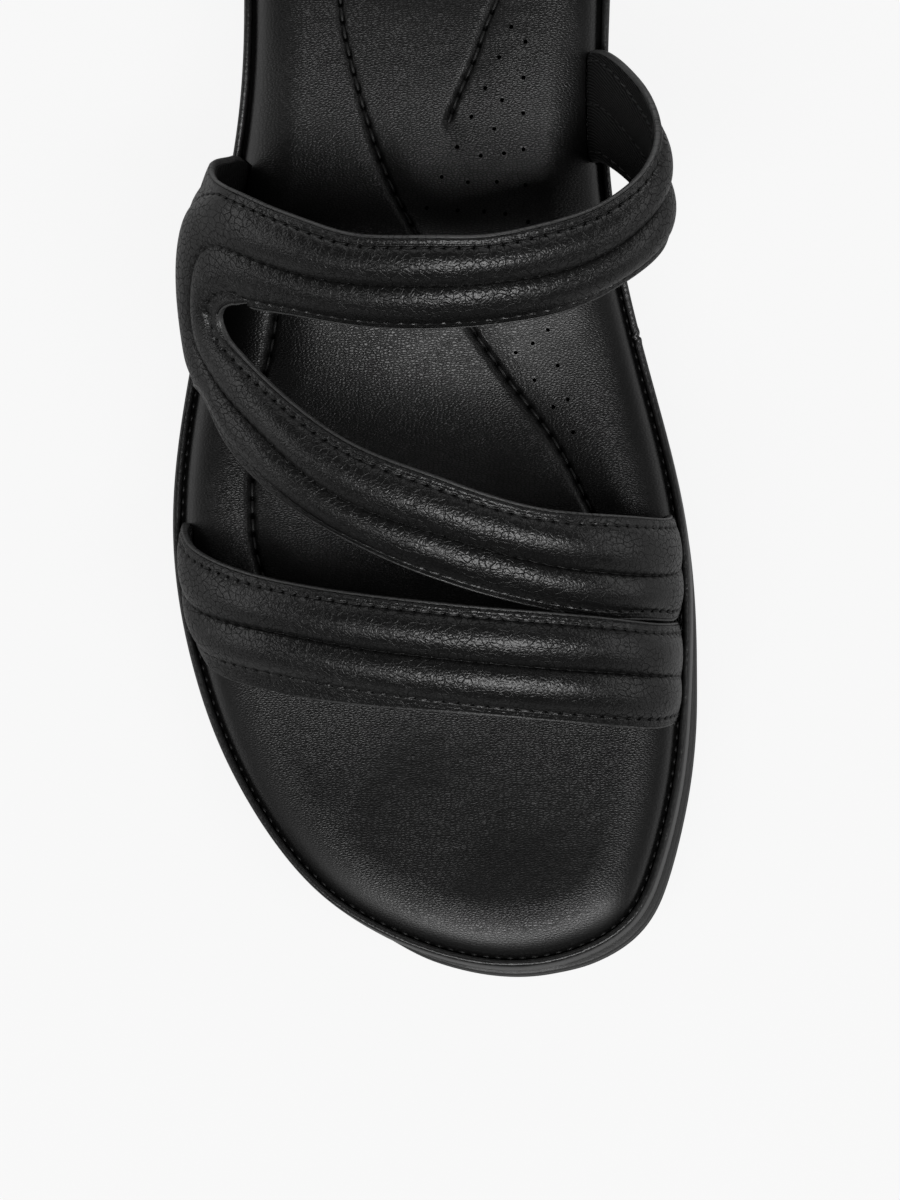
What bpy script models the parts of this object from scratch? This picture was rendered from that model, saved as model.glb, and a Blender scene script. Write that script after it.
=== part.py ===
"""Slip-on sandal for the right foot: two padded strap pieces on a wrapped platform sole.

Frame: +Z up, the sole stands on z = 0, the toe points along -Y and the big-toe side is +X.
Tables are in millimetres, or in per cent of a named size where their heading says so.
"""

import math

import bmesh
import bpy
import numpy as np

MM = 0.001

# Driving sizes of the shoe, mm
LENGTH = 250.5
BALL_WIDTH = 99.0
INSTEP_HEIGHT = 55.0
FOREFOOT_HEIGHT = 22.0
HEEL_HEIGHT = 32.0
TOE_SPRING = 6.0
SOLE_TOE_SPRING = 6.6
ARCH_LIFT = 3.0
ARCH_RAMP = 26.0

# Sole layers, mm
OUTSOLE_FOREFOOT = 10.5
OUTSOLE_HEEL = 14.0
RIM_LIP = 1.5
TRAY_DEPTH = 6.0
FIT_GAP = 0.3
GROUND_ROLL = 1.2

# Footbed cushion, mm
FOOTBED_CROWN = 3.2
FOOTBED_ROLL = 11.0
SEAM_DROP = 0.6
HEEL_CUP_DEPTH = 2.5
HEEL_CUP_SPREAD = (24.0, 30.0)
METATARSAL_RISE = 1.5
METATARSAL_SPREAD = (22.0, 26.0)
METATARSAL_X = -4.0

# Straps, mm
STRAP_WALL = 2.0
PAD_THICKNESS = 5.2
STITCH_MARGIN = 2.0
CHANNEL_WIDTH = 8.4
STRAP_BASE_RISE = 1.5
PAD_FADE = 22.0
SEAM_INSET = RIM_LIP + FIT_GAP + STRAP_WALL
SLOT_INSET = SEAM_INSET + FIT_GAP
TUCK = STRAP_BASE_RISE + TRAY_DEPTH - FIT_GAP
TUCK_CORNER = 8.0
FREE_HEM = 0.6
TUCKED = 100.0 + TUCK

# Places along the sole, % of length from the toe
TOE_BREAK = 22.0
BALL_END = 42.0
ARCH_START = 45.0
ARCH_END = 73.0
HEEL_START = 74.0
HEEL_ROLL = 95.0
METATARSAL_PLACE = 43.0
HEEL_CUP_PLACE = 86.0
FOREFOOT_TREAD = (18.0, 43.0)
HEEL_TREAD = (77.0, 94.0)

# Tread, mm
GROOVE_WIDTH = 4.0
GROOVE_DEPTH = 2.6
FOREFOOT_GROOVES = 6
HEEL_GROOVES = 4
GROOVE_LEAN_DEGREES = 8.0

# Mesh fineness
SOLE_STATIONS = 40
FOOTBED_STATIONS = 56
FOOTBED_COLUMNS = 8
STRAP_SPACING = 4.0
PAD_STEPS = (0.2, 0.5, 0.8)

# Rim outline: station from the toe (% of length), lateral and medial reach (% of ball width)
RIM_ROWS = (
    (2.6, 8.5, 35.4),
    (7.0, 24.2, 43.0),
    (14.2, 37.2, 47.3),
    (22.2, 45.9, 48.9),
    (32.5, 50.8, 48.4),
    (43.3, 48.8, 42.7),
    (53.3, 43.7, 36.4),
    (62.1, 38.6, 33.9),
    (72.1, 36.3, 34.2),
    (88.0, 34.3, 31.8),
    (96.8, 20.7, 18.2),
)
TOE_TIP_REACH = 15.2
HEEL_BACK_REACH = -1.0

# Last: station (% of length), ridge (% of ball width), crown (% of instep height), overhangs (mm)
LAST_ROWS = (
    # along, ridge, crown, lateral overhang, medial overhang
    (12.0, 11.1, 49.0, 1.2, 0.6),
    (22.0, 10.1, 60.0, 1.2, 0.6),
    (32.0, 9.1, 71.0, 1.2, 1.0),
    (44.0, 8.1, 85.5, 1.2, 5.0),
    (54.0, 7.1, 100.0, 8.0, 13.5),
    (64.0, 6.1, 111.0, 8.7, 14.5),
    (74.0, 6.1, 120.0, 8.0, 14.0),
)
LATERAL_SLOPE = 1.2
MEDIAL_SLOPE = 0.9

# Toe strap: girth (%, lateral seam -100, ridge 0, medial seam 100), then stations (% of length)
TOE_STRAP_ROWS = (
    # girth, rear edge, middle stitch, front edge
    (-TUCKED, 33.9, 29.5, 25.1),
    (-100.0, 33.9, 29.5, 25.1),
    (-80.0, 31.7, 27.3, 22.9),
    (-50.0, 28.8, 24.5, 20.5),
    (-25.0, 27.0, 22.9, 19.0),
    (0.0, 25.7, 21.9, 18.0),
    (30.0, 24.9, 21.2, 17.4),
    (65.0, 24.8, 21.1, 17.3),
    (100.0, 25.5, 21.7, 18.2),
    (TUCKED, 25.5, 21.7, 18.2),
)

# Instep strap, from its rear medial end round the lateral bend to its front medial end.
# Each guide is a pair: girth (%) and station (% of length).
INSTEP_STRAP_ROWS = (
    # inner edge, middle stitch, outer edge
    ((TUCKED, 60.9), (TUCKED, 65.3), (TUCKED, 69.5)),
    ((100.0, 60.9), (100.0, 65.3), (100.0, 69.5)),
    ((85.0, 57.0), (85.0, 60.9), (85.0, 64.8)),
    ((71.0, 53.8), (71.0, 57.6), (71.0, 62.4)),
    ((54.0, 50.6), (55.0, 53.6), (56.0, 58.9)),
    ((36.0, 47.3), (36.0, 50.3), (37.0, 54.2)),
    ((8.0, 46.2), (8.0, 48.9), (8.0, 52.5)),
    ((-22.0, 46.5), (-22.0, 49.6), (-22.0, 53.0)),
    ((-42.0, 48.3), (-42.0, 51.1), (-43.0, 54.8)),
    ((-53.0, 49.2), (-58.0, 53.2), (-66.0, 58.1)),
    ((-58.0, 49.1), (-67.0, 53.1), (-100.0, 61.7)),
    ((-61.0, 48.1), (-73.5, 50.0), (-100.0, 53.3)),
    ((-59.0, 47.0), (-73.0, 46.8), (-100.0, 45.3)),
    ((-55.5, 45.4), (-66.0, 43.8), (-77.0, 43.6)),
    ((-45.0, 41.6), (-53.5, 39.0), (-63.0, 39.0)),
    ((-27.0, 37.9), (-34.0, 33.9), (-43.0, 33.0)),
    ((-2.0, 34.8), (-7.0, 30.1), (-12.0, 28.0)),
    ((25.0, 32.8), (23.5, 28.4), (22.0, 25.6)),
    ((50.0, 32.6), (48.0, 28.2), (48.0, 25.1)),
    ((80.0, 33.1), (78.0, 28.8), (78.0, 25.3)),
    ((100.0, 34.1), (100.0, 30.1), (100.0, 26.4)),
    ((TUCKED, 34.1), (TUCKED, 30.1), (TUCKED, 26.4)),
)

# Where straps pass between footbed and rim, % of length
LATERAL_SLOTS = ((25.1, 33.9), (45.3, 61.7))
MEDIAL_SLOTS = ((18.2, 34.1), (60.9, 69.5))

# Foot of the wrapped side: station (% of length), inset from the rim (mm, negative flares out)
SIDE_ROWS = (
    # along, lateral, medial
    (0.0, -1.5, -1.5),
    (8.0, -1.1, -1.9),
    (18.0, -0.9, -1.1),
    (30.0, -0.9, -0.6),
    (42.0, -0.3, 0.6),
    (56.0, 0.8, 1.8),
    (72.0, 1.0, 1.4),
    (88.0, 0.8, 0.8),
    (100.0, 0.6, 0.6),
)

# Outsole side from the ground up: step in from that foot (mm) and share of the outsole's height
OUTSOLE_PROFILE = (
    (6.0, 0.0),
    (2.5, 0.0),
    (1.1, 0.12),
    (0.0, 0.40),
    (0.0, 0.52),
    (1.0, 0.58),
    (1.0, 0.68),
    (0.0, 0.74),
    (0.0, 0.94),
    (0.7, 1.0),
    (5.0, 1.0),
)


def ease(value):
    """Smooth step from 0 to 1 as value goes from 0 to 1."""
    value = np.clip(value, 0.0, 1.0)
    return value * value * (3.0 - 2.0 * value)


def to_y(along):
    """Frame y, mm, of a station in per cent of the length from the toe."""
    return (np.asarray(along, float) / 100.0 - 0.5) * LENGTH


def monotone(knots, values, at):
    """Curve through the table's values that never overshoots them."""
    knots = np.asarray(knots, float)
    values = np.asarray(values, float)
    steps = np.diff(knots)
    slopes = np.diff(values) / steps
    tangents = np.zeros_like(values)
    tangents[0] = slopes[0]
    tangents[-1] = slopes[-1]
    before, after = slopes[:-1], slopes[1:]
    same_sense = before * after > 0
    total = np.where(same_sense, before + after, 1.0)
    tangents[1:-1] = np.where(same_sense, 2.0 * before * after / total, 0.0)
    return hermite(knots, values, tangents, at)


def natural(knots, values, at):
    """Natural cubic spline through the table's values."""
    knots = np.asarray(knots, float)
    values = np.asarray(values, float)
    steps = np.diff(knots)
    slopes = np.diff(values) / steps
    count = len(knots)
    matrix = np.eye(count)
    right = np.zeros(count)
    for i in range(1, count - 1):
        matrix[i, i - 1 : i + 2] = steps[i - 1], 2.0 * (steps[i - 1] + steps[i]), steps[i]
        right[i] = 6.0 * (slopes[i] - slopes[i - 1])
    bends = np.linalg.solve(matrix, right)
    tangents = np.append(
        slopes - steps * (2.0 * bends[:-1] + bends[1:]) / 6.0,
        slopes[-1] + steps[-1] * (2.0 * bends[-1] + bends[-2]) / 6.0,
    )
    return hermite(knots, values, tangents, at)


def hermite(knots, values, tangents, at):
    """Cubic pieces through values with the given tangents."""
    at = np.clip(np.asarray(at, float), knots[0], knots[-1])
    span = np.clip(np.searchsorted(knots, at, side="right") - 1, 0, len(knots) - 2)
    width = knots[span + 1] - knots[span]
    t = (at - knots[span]) / width
    return (
        values[span] * (1 + 2 * t) * (1 - t) ** 2
        + tangents[span] * width * t * (1 - t) ** 2
        + values[span + 1] * t * t * (3 - 2 * t)
        + tangents[span + 1] * width * t * t * (t - 1)
    )


def closed_curve(points, per_span=40):
    """Closed cubic spline through the points, as a dense polyline."""
    points = np.asarray(points, float)
    repeats = 3
    looped = np.concatenate([points] * repeats + [points[:1]])
    chords = np.linalg.norm(np.diff(looped, axis=0), axis=1)
    knots = np.append(0.0, np.cumsum(np.sqrt(chords)))
    count = len(points)
    at = np.linspace(knots[count], knots[2 * count], count * per_span, endpoint=False)
    return np.stack([natural(knots, looped[:, axis], at) for axis in (0, 1)], axis=1)


def rim_polyline():
    """The rim's outer edge from the heel back along the lateral side to the toe and home."""
    rows = np.array(RIM_ROWS)
    stations = to_y(rows[:, 0])
    lateral = np.stack([-rows[:, 1] * BALL_WIDTH / 100.0, stations], axis=1)
    medial = np.stack([rows[:, 2] * BALL_WIDTH / 100.0, stations], axis=1)
    heel = np.array([[HEEL_BACK_REACH * BALL_WIDTH / 100.0, LENGTH / 2]])
    toe = np.array([[TOE_TIP_REACH * BALL_WIDTH / 100.0, -LENGTH / 2]])
    curve = closed_curve(np.concatenate([heel, lateral[::-1], toe, medial]))
    return np.roll(curve, -int(curve[:, 1].argmax()), axis=0)


RIM = rim_polyline()


def inset_polyline(inset):
    """The rim's outline moved inwards by inset (mm), or by one inset for each of its points."""
    tangent = np.roll(RIM, -1, axis=0) - np.roll(RIM, 1, axis=0)
    tangent /= np.linalg.norm(tangent, axis=1, keepdims=True)
    inward = np.stack([-tangent[:, 1], tangent[:, 0]], axis=1)
    return RIM + inward * np.reshape(inset, (-1, 1))


def side_x(y, inset, medial):
    """x of one side of the inset outline at station y."""
    curve = inset_polyline(inset)
    toe = int(curve[:, 1].argmin())
    if medial:
        side = np.concatenate([curve[toe:], curve[:1]])
    else:
        side = curve[: toe + 1][::-1]
    return np.interp(y, side[:, 1], side[:, 0])


def ring_indices(stations):
    """Rim points for a ring: heel to toe on the lateral side, then toe to heel on the medial side."""
    toe = int(RIM[:, 1].argmin())
    levels = RIM[toe, 1] + (RIM[0, 1] - RIM[toe, 1]) * (
        0.5 + 0.5 * np.cos(np.pi * np.arange(stations + 1) / stations)
    )
    lateral = [int(np.abs(RIM[: toe + 1, 1] - level).argmin()) for level in levels]
    medial = [toe + int(np.abs(RIM[toe:, 1] - level).argmin()) for level in levels]
    lateral[0], lateral[-1] = 0, toe
    return lateral + medial[-2:0:-1]


def side_inset():
    """Inset of the side's foot at each rim point."""
    rows = np.array(SIDE_ROWS)
    along = (RIM[:, 1] / LENGTH + 0.5) * 100.0
    medial = np.arange(len(RIM)) >= int(RIM[:, 1].argmin())
    return np.where(medial, monotone(rows[:, 0], rows[:, 2], along), monotone(rows[:, 0], rows[:, 1], along))


def toe_share(y):
    """0 behind the toe break, 1 at the toe tip."""
    return np.clip((to_y(TOE_BREAK) - y) / (to_y(TOE_BREAK) - to_y(0.0)), 0, 1) ** 2


def toe_rise(y):
    """How far the toe spring lifts the sole at station y."""
    return TOE_SPRING * toe_share(y)


def heel_share(y):
    """0 under the ball, 1 under the heel."""
    return ease((y - to_y(BALL_END)) / (to_y(HEEL_START) - to_y(BALL_END)))


def rim_height(y):
    return FOREFOOT_HEIGHT + (HEEL_HEIGHT - FOREFOOT_HEIGHT) * heel_share(y) + toe_rise(y)


def outsole_top(y):
    return OUTSOLE_FOREFOOT + (OUTSOLE_HEEL - OUTSOLE_FOREFOOT) * heel_share(y) + toe_rise(y)


def ground_height(y):
    """Underside of the sole: flat at forefoot and heel, lifted at the arch, the toe and the heel's end."""
    arch = ease((y - to_y(ARCH_START)) / ARCH_RAMP) * ease((to_y(ARCH_END) - y) / ARCH_RAMP)
    heel_end = np.clip((y - to_y(HEEL_ROLL)) / (to_y(100.0) - to_y(HEEL_ROLL)), 0, 1) ** 2
    return ARCH_LIFT * arch + SOLE_TOE_SPRING * toe_share(y) + GROUND_ROLL * heel_end


def slot_share(y, medial):
    """1 where a strap passes the footbed's edge, 0 elsewhere."""
    spacing = LENGTH * math.pi / (2 * FOOTBED_STATIONS)
    share = np.zeros_like(y)
    for start, end in MEDIAL_SLOTS if medial else LATERAL_SLOTS:
        inside = (y > to_y(start) - spacing) & (y < to_y(end) + spacing)
        share = np.where(inside, 1.0, share)
    return share


def mound(x, y, spread):
    """Soft round bump of height 1 with the given spread across and along."""
    return np.exp(-((x / spread[0]) ** 2) - (y / spread[1]) ** 2)


def footbed_relief(x, y):
    """Broad shape of the cushion's top over its edge: heel cup and a rise behind the ball."""
    cup = mound(x, y - to_y(HEEL_CUP_PLACE), HEEL_CUP_SPREAD)
    rise = mound(x - METATARSAL_X, y - to_y(METATARSAL_PLACE), METATARSAL_SPREAD)
    return METATARSAL_RISE * rise - HEEL_CUP_DEPTH * cup


def last_point(girth, along):
    """Point on the last's surface, mm. Past a girth of 100 % the wall drops straight down."""
    girth = np.asarray(girth, float)
    along = np.asarray(along, float)
    rows = np.array(LAST_ROWS)
    ridge, crown, lateral_over, medial_over = (
        monotone(rows[:, 0], rows[:, column], along) for column in (1, 2, 3, 4)
    )
    ridge = ridge * BALL_WIDTH / 100.0
    crown = crown * INSTEP_HEIGHT / 100.0
    y = to_y(along)
    medial = girth > 0
    seam = np.where(medial, side_x(y, SEAM_INSET, True), side_x(y, SEAM_INSET, False))
    reach = np.abs(seam - ridge)
    over = np.where(medial, medial_over, lateral_over)
    slope = np.where(medial, MEDIAL_SLOPE, LATERAL_SLOPE)
    turn = np.clip(1.0 - np.abs(girth) / 100.0, 0.0, 1.0) * math.pi / 2
    cosine, sine = np.cos(turn), np.sin(turn)
    bump_scale = 16.0 / (3.0 * math.sqrt(3.0))
    out = reach * cosine**slope + over * bump_scale * sine * cosine**3
    drop = np.clip(np.abs(girth) - 100.0, 0.0, None)
    x = ridge + np.where(medial, out, -out)
    z = rim_height(y) + STRAP_BASE_RISE + crown * sine**slope - drop
    return np.stack([x, y, z], axis=-1)


def strap_grid(at, inner, stitch, outer):
    """Surface points and padding weights of a strap from its stations and its three guides."""
    inner_point, stitch_point, outer_point = (last_point(*guide) for guide in (inner, stitch, outer))
    inner_width = np.linalg.norm(inner_point - stitch_point, axis=1)
    outer_width = np.linalg.norm(outer_point - stitch_point, axis=1)
    inner_pad = (inner_width - STITCH_MARGIN) / inner_width
    outer_pad = np.minimum(CHANNEL_WIDTH, outer_width - STITCH_MARGIN) / outer_width
    columns = [(inner, 1.0 + 0 * inner_pad, 0.0), (inner, inner_pad, 0.0)]
    columns += [(inner, inner_pad * step, step) for step in reversed(PAD_STEPS)]
    columns += [(inner, 0.0 * inner_pad, 0.0)]
    columns += [(outer, outer_pad * step, step) for step in PAD_STEPS]
    drop = hem_drop(outer)
    hem = (outer[0] - drop, outer[1])
    wing_end = np.where(drop > 0, 1.0, 1.0 - FREE_HEM / outer_width)
    columns += [(outer, outer_pad, 0.0), (outer, (wing_end + outer_pad) / 2, 0.0)]
    columns += [(outer, wing_end, 0.0), (hem, 1.0 + 0 * outer_pad, 0.0)]
    points, weights = [], []
    for guide, share, step in columns:
        girth = stitch[0] + (guide[0] - stitch[0]) * share
        along = stitch[1] + (guide[1] - stitch[1]) * share
        point = last_point(girth, along)
        fade = ease((np.minimum(at, at[-1] - at) - TUCK) / PAD_FADE)
        points.append(point)
        weights.append(math.sin(math.pi * step) ** 0.6 * fade)
    return np.stack(points, axis=1), np.stack(weights, axis=1)


def hem_drop(outer):
    """How far a wing's lower edge goes down into its slot along the lateral seam, with cut corners."""
    start, end = LATERAL_SLOTS[1]
    from_corner = np.minimum(outer[1] - start, end - outer[1]) * LENGTH / 100.0
    on_seam = np.abs(outer[0] + 100.0) < 0.1
    return TUCK * np.clip(from_corner / TUCK_CORNER, 0.0, 1.0) * on_seam


def stations_between(middle):
    """Knots of a strap's rows along its middle stitch, and stations that include each of them."""
    lengths = np.linalg.norm(np.diff(middle, axis=0), axis=1)
    knots = np.append(0.0, np.cumsum(lengths))
    at = [0.0]
    for start, length in zip(knots, lengths):
        steps = max(1, round(length / STRAP_SPACING))
        at += [start + length * (step + 1) / steps for step in range(steps)]
    return knots, np.array(at)


def instep_guides():
    """Stations, inner edge, middle stitch and outer edge of the instep strap."""
    rows = np.array(INSTEP_STRAP_ROWS)
    knots, at = stations_between(last_point(rows[:, 1, 0], rows[:, 1, 1]))
    curves = (natural, natural, monotone)
    guides = [at]
    for guide, curve in enumerate(curves):
        girth = np.clip(curve(knots, rows[:, guide, 0], at), -TUCKED, TUCKED)
        guides.append((girth, curve(knots, rows[:, guide, 1], at)))
    return guides


def toe_strap_guides():
    """Stations, rear edge, middle stitch and front edge of the toe strap."""
    rows = np.array(TOE_STRAP_ROWS)
    knots, at = stations_between(last_point(rows[:, 0], rows[:, 2]))
    girth = np.clip(monotone(knots, rows[:, 0], at), -TUCKED, TUCKED)
    return [at] + [(girth, monotone(knots, rows[:, column], at)) for column in (1, 2, 3)]


def ring_at(inset, height, indices):
    """Ring of points around the sole at an inset (mm, or one for each rim point) and a height function of y."""
    flat = inset_polyline(inset)[indices]
    return np.column_stack([flat, height(flat[:, 1])])


def add_ladder(mesh, ring, columns, height):
    """Closes a ring with rungs from its lateral to its medial side, in the given number of columns."""
    count = len(ring)
    half = count // 2
    rows = []
    for j in range(half + 1):
        left, right = ring[j], ring[(count - j) % count]
        if left is right:
            rows.append([left])
            continue
        row = [left]
        for k in range(1, columns):
            point = left.co.lerp(right.co, k / columns)
            if height is not None:
                point.z = height(point.x / MM, point.y / MM) * MM
            row.append(mesh.verts.new(point))
        rows.append(row + [right])
    for upper, lower in zip(rows, rows[1:]):
        for k in range(columns):
            corners = [upper[min(k, len(upper) - 1)], lower[min(k, len(lower) - 1)]]
            corners += [lower[min(k + 1, len(lower) - 1)], upper[min(k + 1, len(upper) - 1)]]
            mesh.faces.new(list(dict.fromkeys(corners)))


def loft_object(name, rings, material, top_columns=1, top_height=None):
    """Closed solid through rings from the underside outwards, up the side and in over the top."""
    mesh = bmesh.new()
    loops = [[mesh.verts.new(point * MM) for point in ring] for ring in rings]
    for lower, upper in zip(loops, loops[1:]):
        for i in range(len(lower)):
            j = (i + 1) % len(lower)
            mesh.faces.new((lower[i], lower[j], upper[j], upper[i]))
    add_ladder(mesh, loops[0], 1, None)
    add_ladder(mesh, loops[-1], top_columns, top_height)
    bmesh.ops.recalc_face_normals(mesh, faces=mesh.faces)
    return mesh_object(name, mesh, material)


def mesh_object(name, mesh, material):
    """Turns a bmesh into a named, smooth-shaded object in the sandal's collection."""
    data = bpy.data.meshes.new(name)
    mesh.to_mesh(data)
    mesh.free()
    data.materials.append(material)
    data.shade_smooth()
    data.set_sharp_from_angle(angle=math.radians(40))
    part = bpy.data.objects.new(name, data)
    part.parent = bpy.data.objects["sandal_frame"]
    bpy.data.collections["slip_on_sandal"].objects.link(part)
    return part


def strap_object(name, guides, material):
    """Padded strap: a grid bent on to the last, thickened outwards by its padding weights."""
    points, weights = strap_grid(*guides)
    rows, columns = weights.shape
    mesh = bmesh.new()
    bmesh.ops.create_grid(mesh, x_segments=columns - 1, y_segments=rows - 1, size=0.5)
    mesh.verts.ensure_lookup_table()
    padding = []
    for vert in mesh.verts:
        column = round((vert.co.x + 0.5) * (columns - 1))
        row = round((vert.co.y + 0.5) * (rows - 1))
        vert.co = points[row, column] * MM
        padding.append(weights[row, column])
    mesh.normal_update()
    highest = max(mesh.faces, key=lambda face: face.calc_center_median().z)
    if highest.normal.z < 0:
        bmesh.ops.reverse_faces(mesh, faces=mesh.faces)
    part = mesh_object(name, mesh, material)
    group = part.vertex_groups.new(name="padding")
    for index, weight in enumerate(padding):
        group.add([index], weight, "REPLACE")
    wall = part.modifiers.new("padded wall", "SOLIDIFY")
    wall.thickness = PAD_THICKNESS * MM
    wall.offset = 1.0
    wall.vertex_group = "padding"
    wall.thickness_vertex_group = STRAP_WALL / PAD_THICKNESS
    return part


def leather(name, shade, roughness):
    """Principled material in a near-black grey."""
    material = bpy.data.materials.new(name)
    material.use_nodes = True
    shader = material.node_tree.nodes["Principled BSDF"]
    shader.inputs["Base Color"].default_value = (shade, shade, shade, 1.0)
    shader.inputs["Roughness"].default_value = roughness
    shader.inputs["Metallic"].default_value = 0.0
    return material


def make_outsole():
    indices = ring_indices(SOLE_STATIONS)

    def level(share):
        return lambda y: ground_height(y) + (outsole_top(y) - ground_height(y)) * share

    foot = side_inset()
    rings = [ring_at(foot + step, level(share), indices) for step, share in OUTSOLE_PROFILE]
    sole = loft_object("outsole", rings, leather("black rubber", 0.018, 0.55))
    cut = sole.modifiers.new("tread grooves", "BOOLEAN")
    cut.operation = "DIFFERENCE"
    cut.object = make_tread_cutter()
    return sole


def make_tread_cutter():
    """Leaning bars that cut the flex grooves across forefoot and heel."""
    bands = ((*FOREFOOT_TREAD, FOREFOOT_GROOVES, 1), (*HEEL_TREAD, HEEL_GROOVES, -1))
    mesh = bmesh.new()
    for start, end, count, sense in bands:
        lean = math.radians(GROOVE_LEAN_DEGREES) * sense
        for step in range(count):
            middle = float(to_y(start + (end - start) * step / (count - 1)))
            made = bmesh.ops.create_cube(mesh, size=1.0)
            for vert in made["verts"]:
                across = vert.co.x * 2 * BALL_WIDTH
                forward = vert.co.y * GROOVE_WIDTH
                turned = across * math.sin(lean) + forward * math.cos(lean)
                flat = across * math.cos(lean) - forward * math.sin(lean)
                floor = float(ground_height(np.array(middle)))
                vert.co = (flat * MM, (middle + turned) * MM, (floor + vert.co.z * 2 * GROOVE_DEPTH) * MM)
    data = bpy.data.meshes.new("tread_cutter")
    mesh.to_mesh(data)
    mesh.free()
    cutter = bpy.data.objects.new("tread_cutter", data)
    bpy.data.collections["cutters"].objects.link(cutter)
    cutter.hide_render = True
    cutter.display_type = "WIRE"
    return cutter


def make_midsole():
    """Wrapped platform: a tray whose rolled rim holds the footbed and the strap ends."""
    indices = ring_indices(SOLE_STATIONS)

    def above_outsole(y):
        return outsole_top(y) + FIT_GAP

    def side(share):
        return lambda y: above_outsole(y) + (rim_height(y) - above_outsole(y)) * share

    foot = np.maximum(side_inset(), 0.0)
    rings = [
        ring_at(foot + 4.0, above_outsole, indices),
        ring_at(foot + 0.6, above_outsole, indices),
        ring_at(foot * 0.88 + 0.1, side(0.12), indices),
        ring_at(foot * 0.5 - 0.1, side(0.5), indices),
        ring_at(0.0, side(0.88), indices),
        ring_at(0.4, side(1.0), indices),
        ring_at(RIM_LIP, side(1.0), indices),
        ring_at(RIM_LIP, lambda y: rim_height(y) - TRAY_DEPTH, indices),
    ]
    return loft_object("midsole_wrap", rings, leather("wrap leather", 0.020, 0.45))


def make_footbed():
    """Cushioned footbed in the tray, drawn in where the straps pass."""
    indices = ring_indices(FOOTBED_STATIONS)
    toe = int(RIM[:, 1].argmin())
    is_medial = np.arange(len(RIM)) >= toe
    share = np.where(is_medial, slot_share(RIM[:, 1], True), slot_share(RIM[:, 1], False))
    edge = RIM_LIP + FIT_GAP + (SLOT_INSET - RIM_LIP - FIT_GAP) * share

    def seam_level(y):
        return rim_height(y) - SEAM_DROP

    def tray_floor(y):
        return rim_height(y) - TRAY_DEPTH + FIT_GAP

    def crowned(distance):
        rise = FOOTBED_CROWN * math.sin(math.pi / 2 * min(1.0, distance / FOOTBED_ROLL))
        return lambda y: seam_level(y) + rise

    def top(x, y):
        return float(seam_level(y) + FOOTBED_CROWN + footbed_relief(x, y))

    rings = [
        ring_at(edge + 2.0, tray_floor, indices),
        ring_at(edge, tray_floor, indices),
        ring_at(edge, seam_level, indices),
    ]
    for distance in (2.0, 5.5, FOOTBED_ROLL):
        ring = ring_at(edge + distance, crowned(distance), indices)
        ring[:, 2] += footbed_relief(ring[:, 0], ring[:, 1]) * ease(distance / FOOTBED_ROLL)
        rings.append(ring)
    shade = leather("footbed leather", 0.021, 0.42)
    return loft_object("footbed", rings, shade, FOOTBED_COLUMNS, top)


def clear_scene():
    for item in list(bpy.data.objects):
        bpy.data.objects.remove(item, do_unlink=True)
    for name in ("slip_on_sandal", "cutters"):
        bpy.context.scene.collection.children.link(bpy.data.collections.new(name))
    frame = bpy.data.objects.new("sandal_frame", None)
    bpy.data.collections["slip_on_sandal"].objects.link(frame)


def main():
    clear_scene()
    make_outsole()
    make_midsole()
    make_footbed()
    strap_object("instep_strap", instep_guides(), leather("strap leather", 0.022, 0.40))
    strap_object("toe_strap", toe_strap_guides(), leather("toe strap leather", 0.022, 0.40))


main()
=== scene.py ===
import math
from types import SimpleNamespace

import bmesh
import bpy
import numpy as np
from mathutils import Matrix, Vector, kdtree


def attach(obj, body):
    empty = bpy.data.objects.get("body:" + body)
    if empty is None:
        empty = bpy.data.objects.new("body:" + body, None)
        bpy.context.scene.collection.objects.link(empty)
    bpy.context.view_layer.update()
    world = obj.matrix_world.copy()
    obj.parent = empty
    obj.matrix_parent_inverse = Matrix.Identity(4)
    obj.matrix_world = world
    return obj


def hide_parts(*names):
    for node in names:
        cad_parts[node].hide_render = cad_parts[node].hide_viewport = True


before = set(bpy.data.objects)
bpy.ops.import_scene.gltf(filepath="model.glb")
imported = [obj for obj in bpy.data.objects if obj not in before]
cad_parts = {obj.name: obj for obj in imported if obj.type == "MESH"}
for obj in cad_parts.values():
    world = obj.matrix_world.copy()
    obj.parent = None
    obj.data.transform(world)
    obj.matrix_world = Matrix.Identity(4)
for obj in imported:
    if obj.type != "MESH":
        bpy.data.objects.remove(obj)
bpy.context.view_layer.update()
mm = 0.001
print("frame loaded:", sorted(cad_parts))

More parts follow.
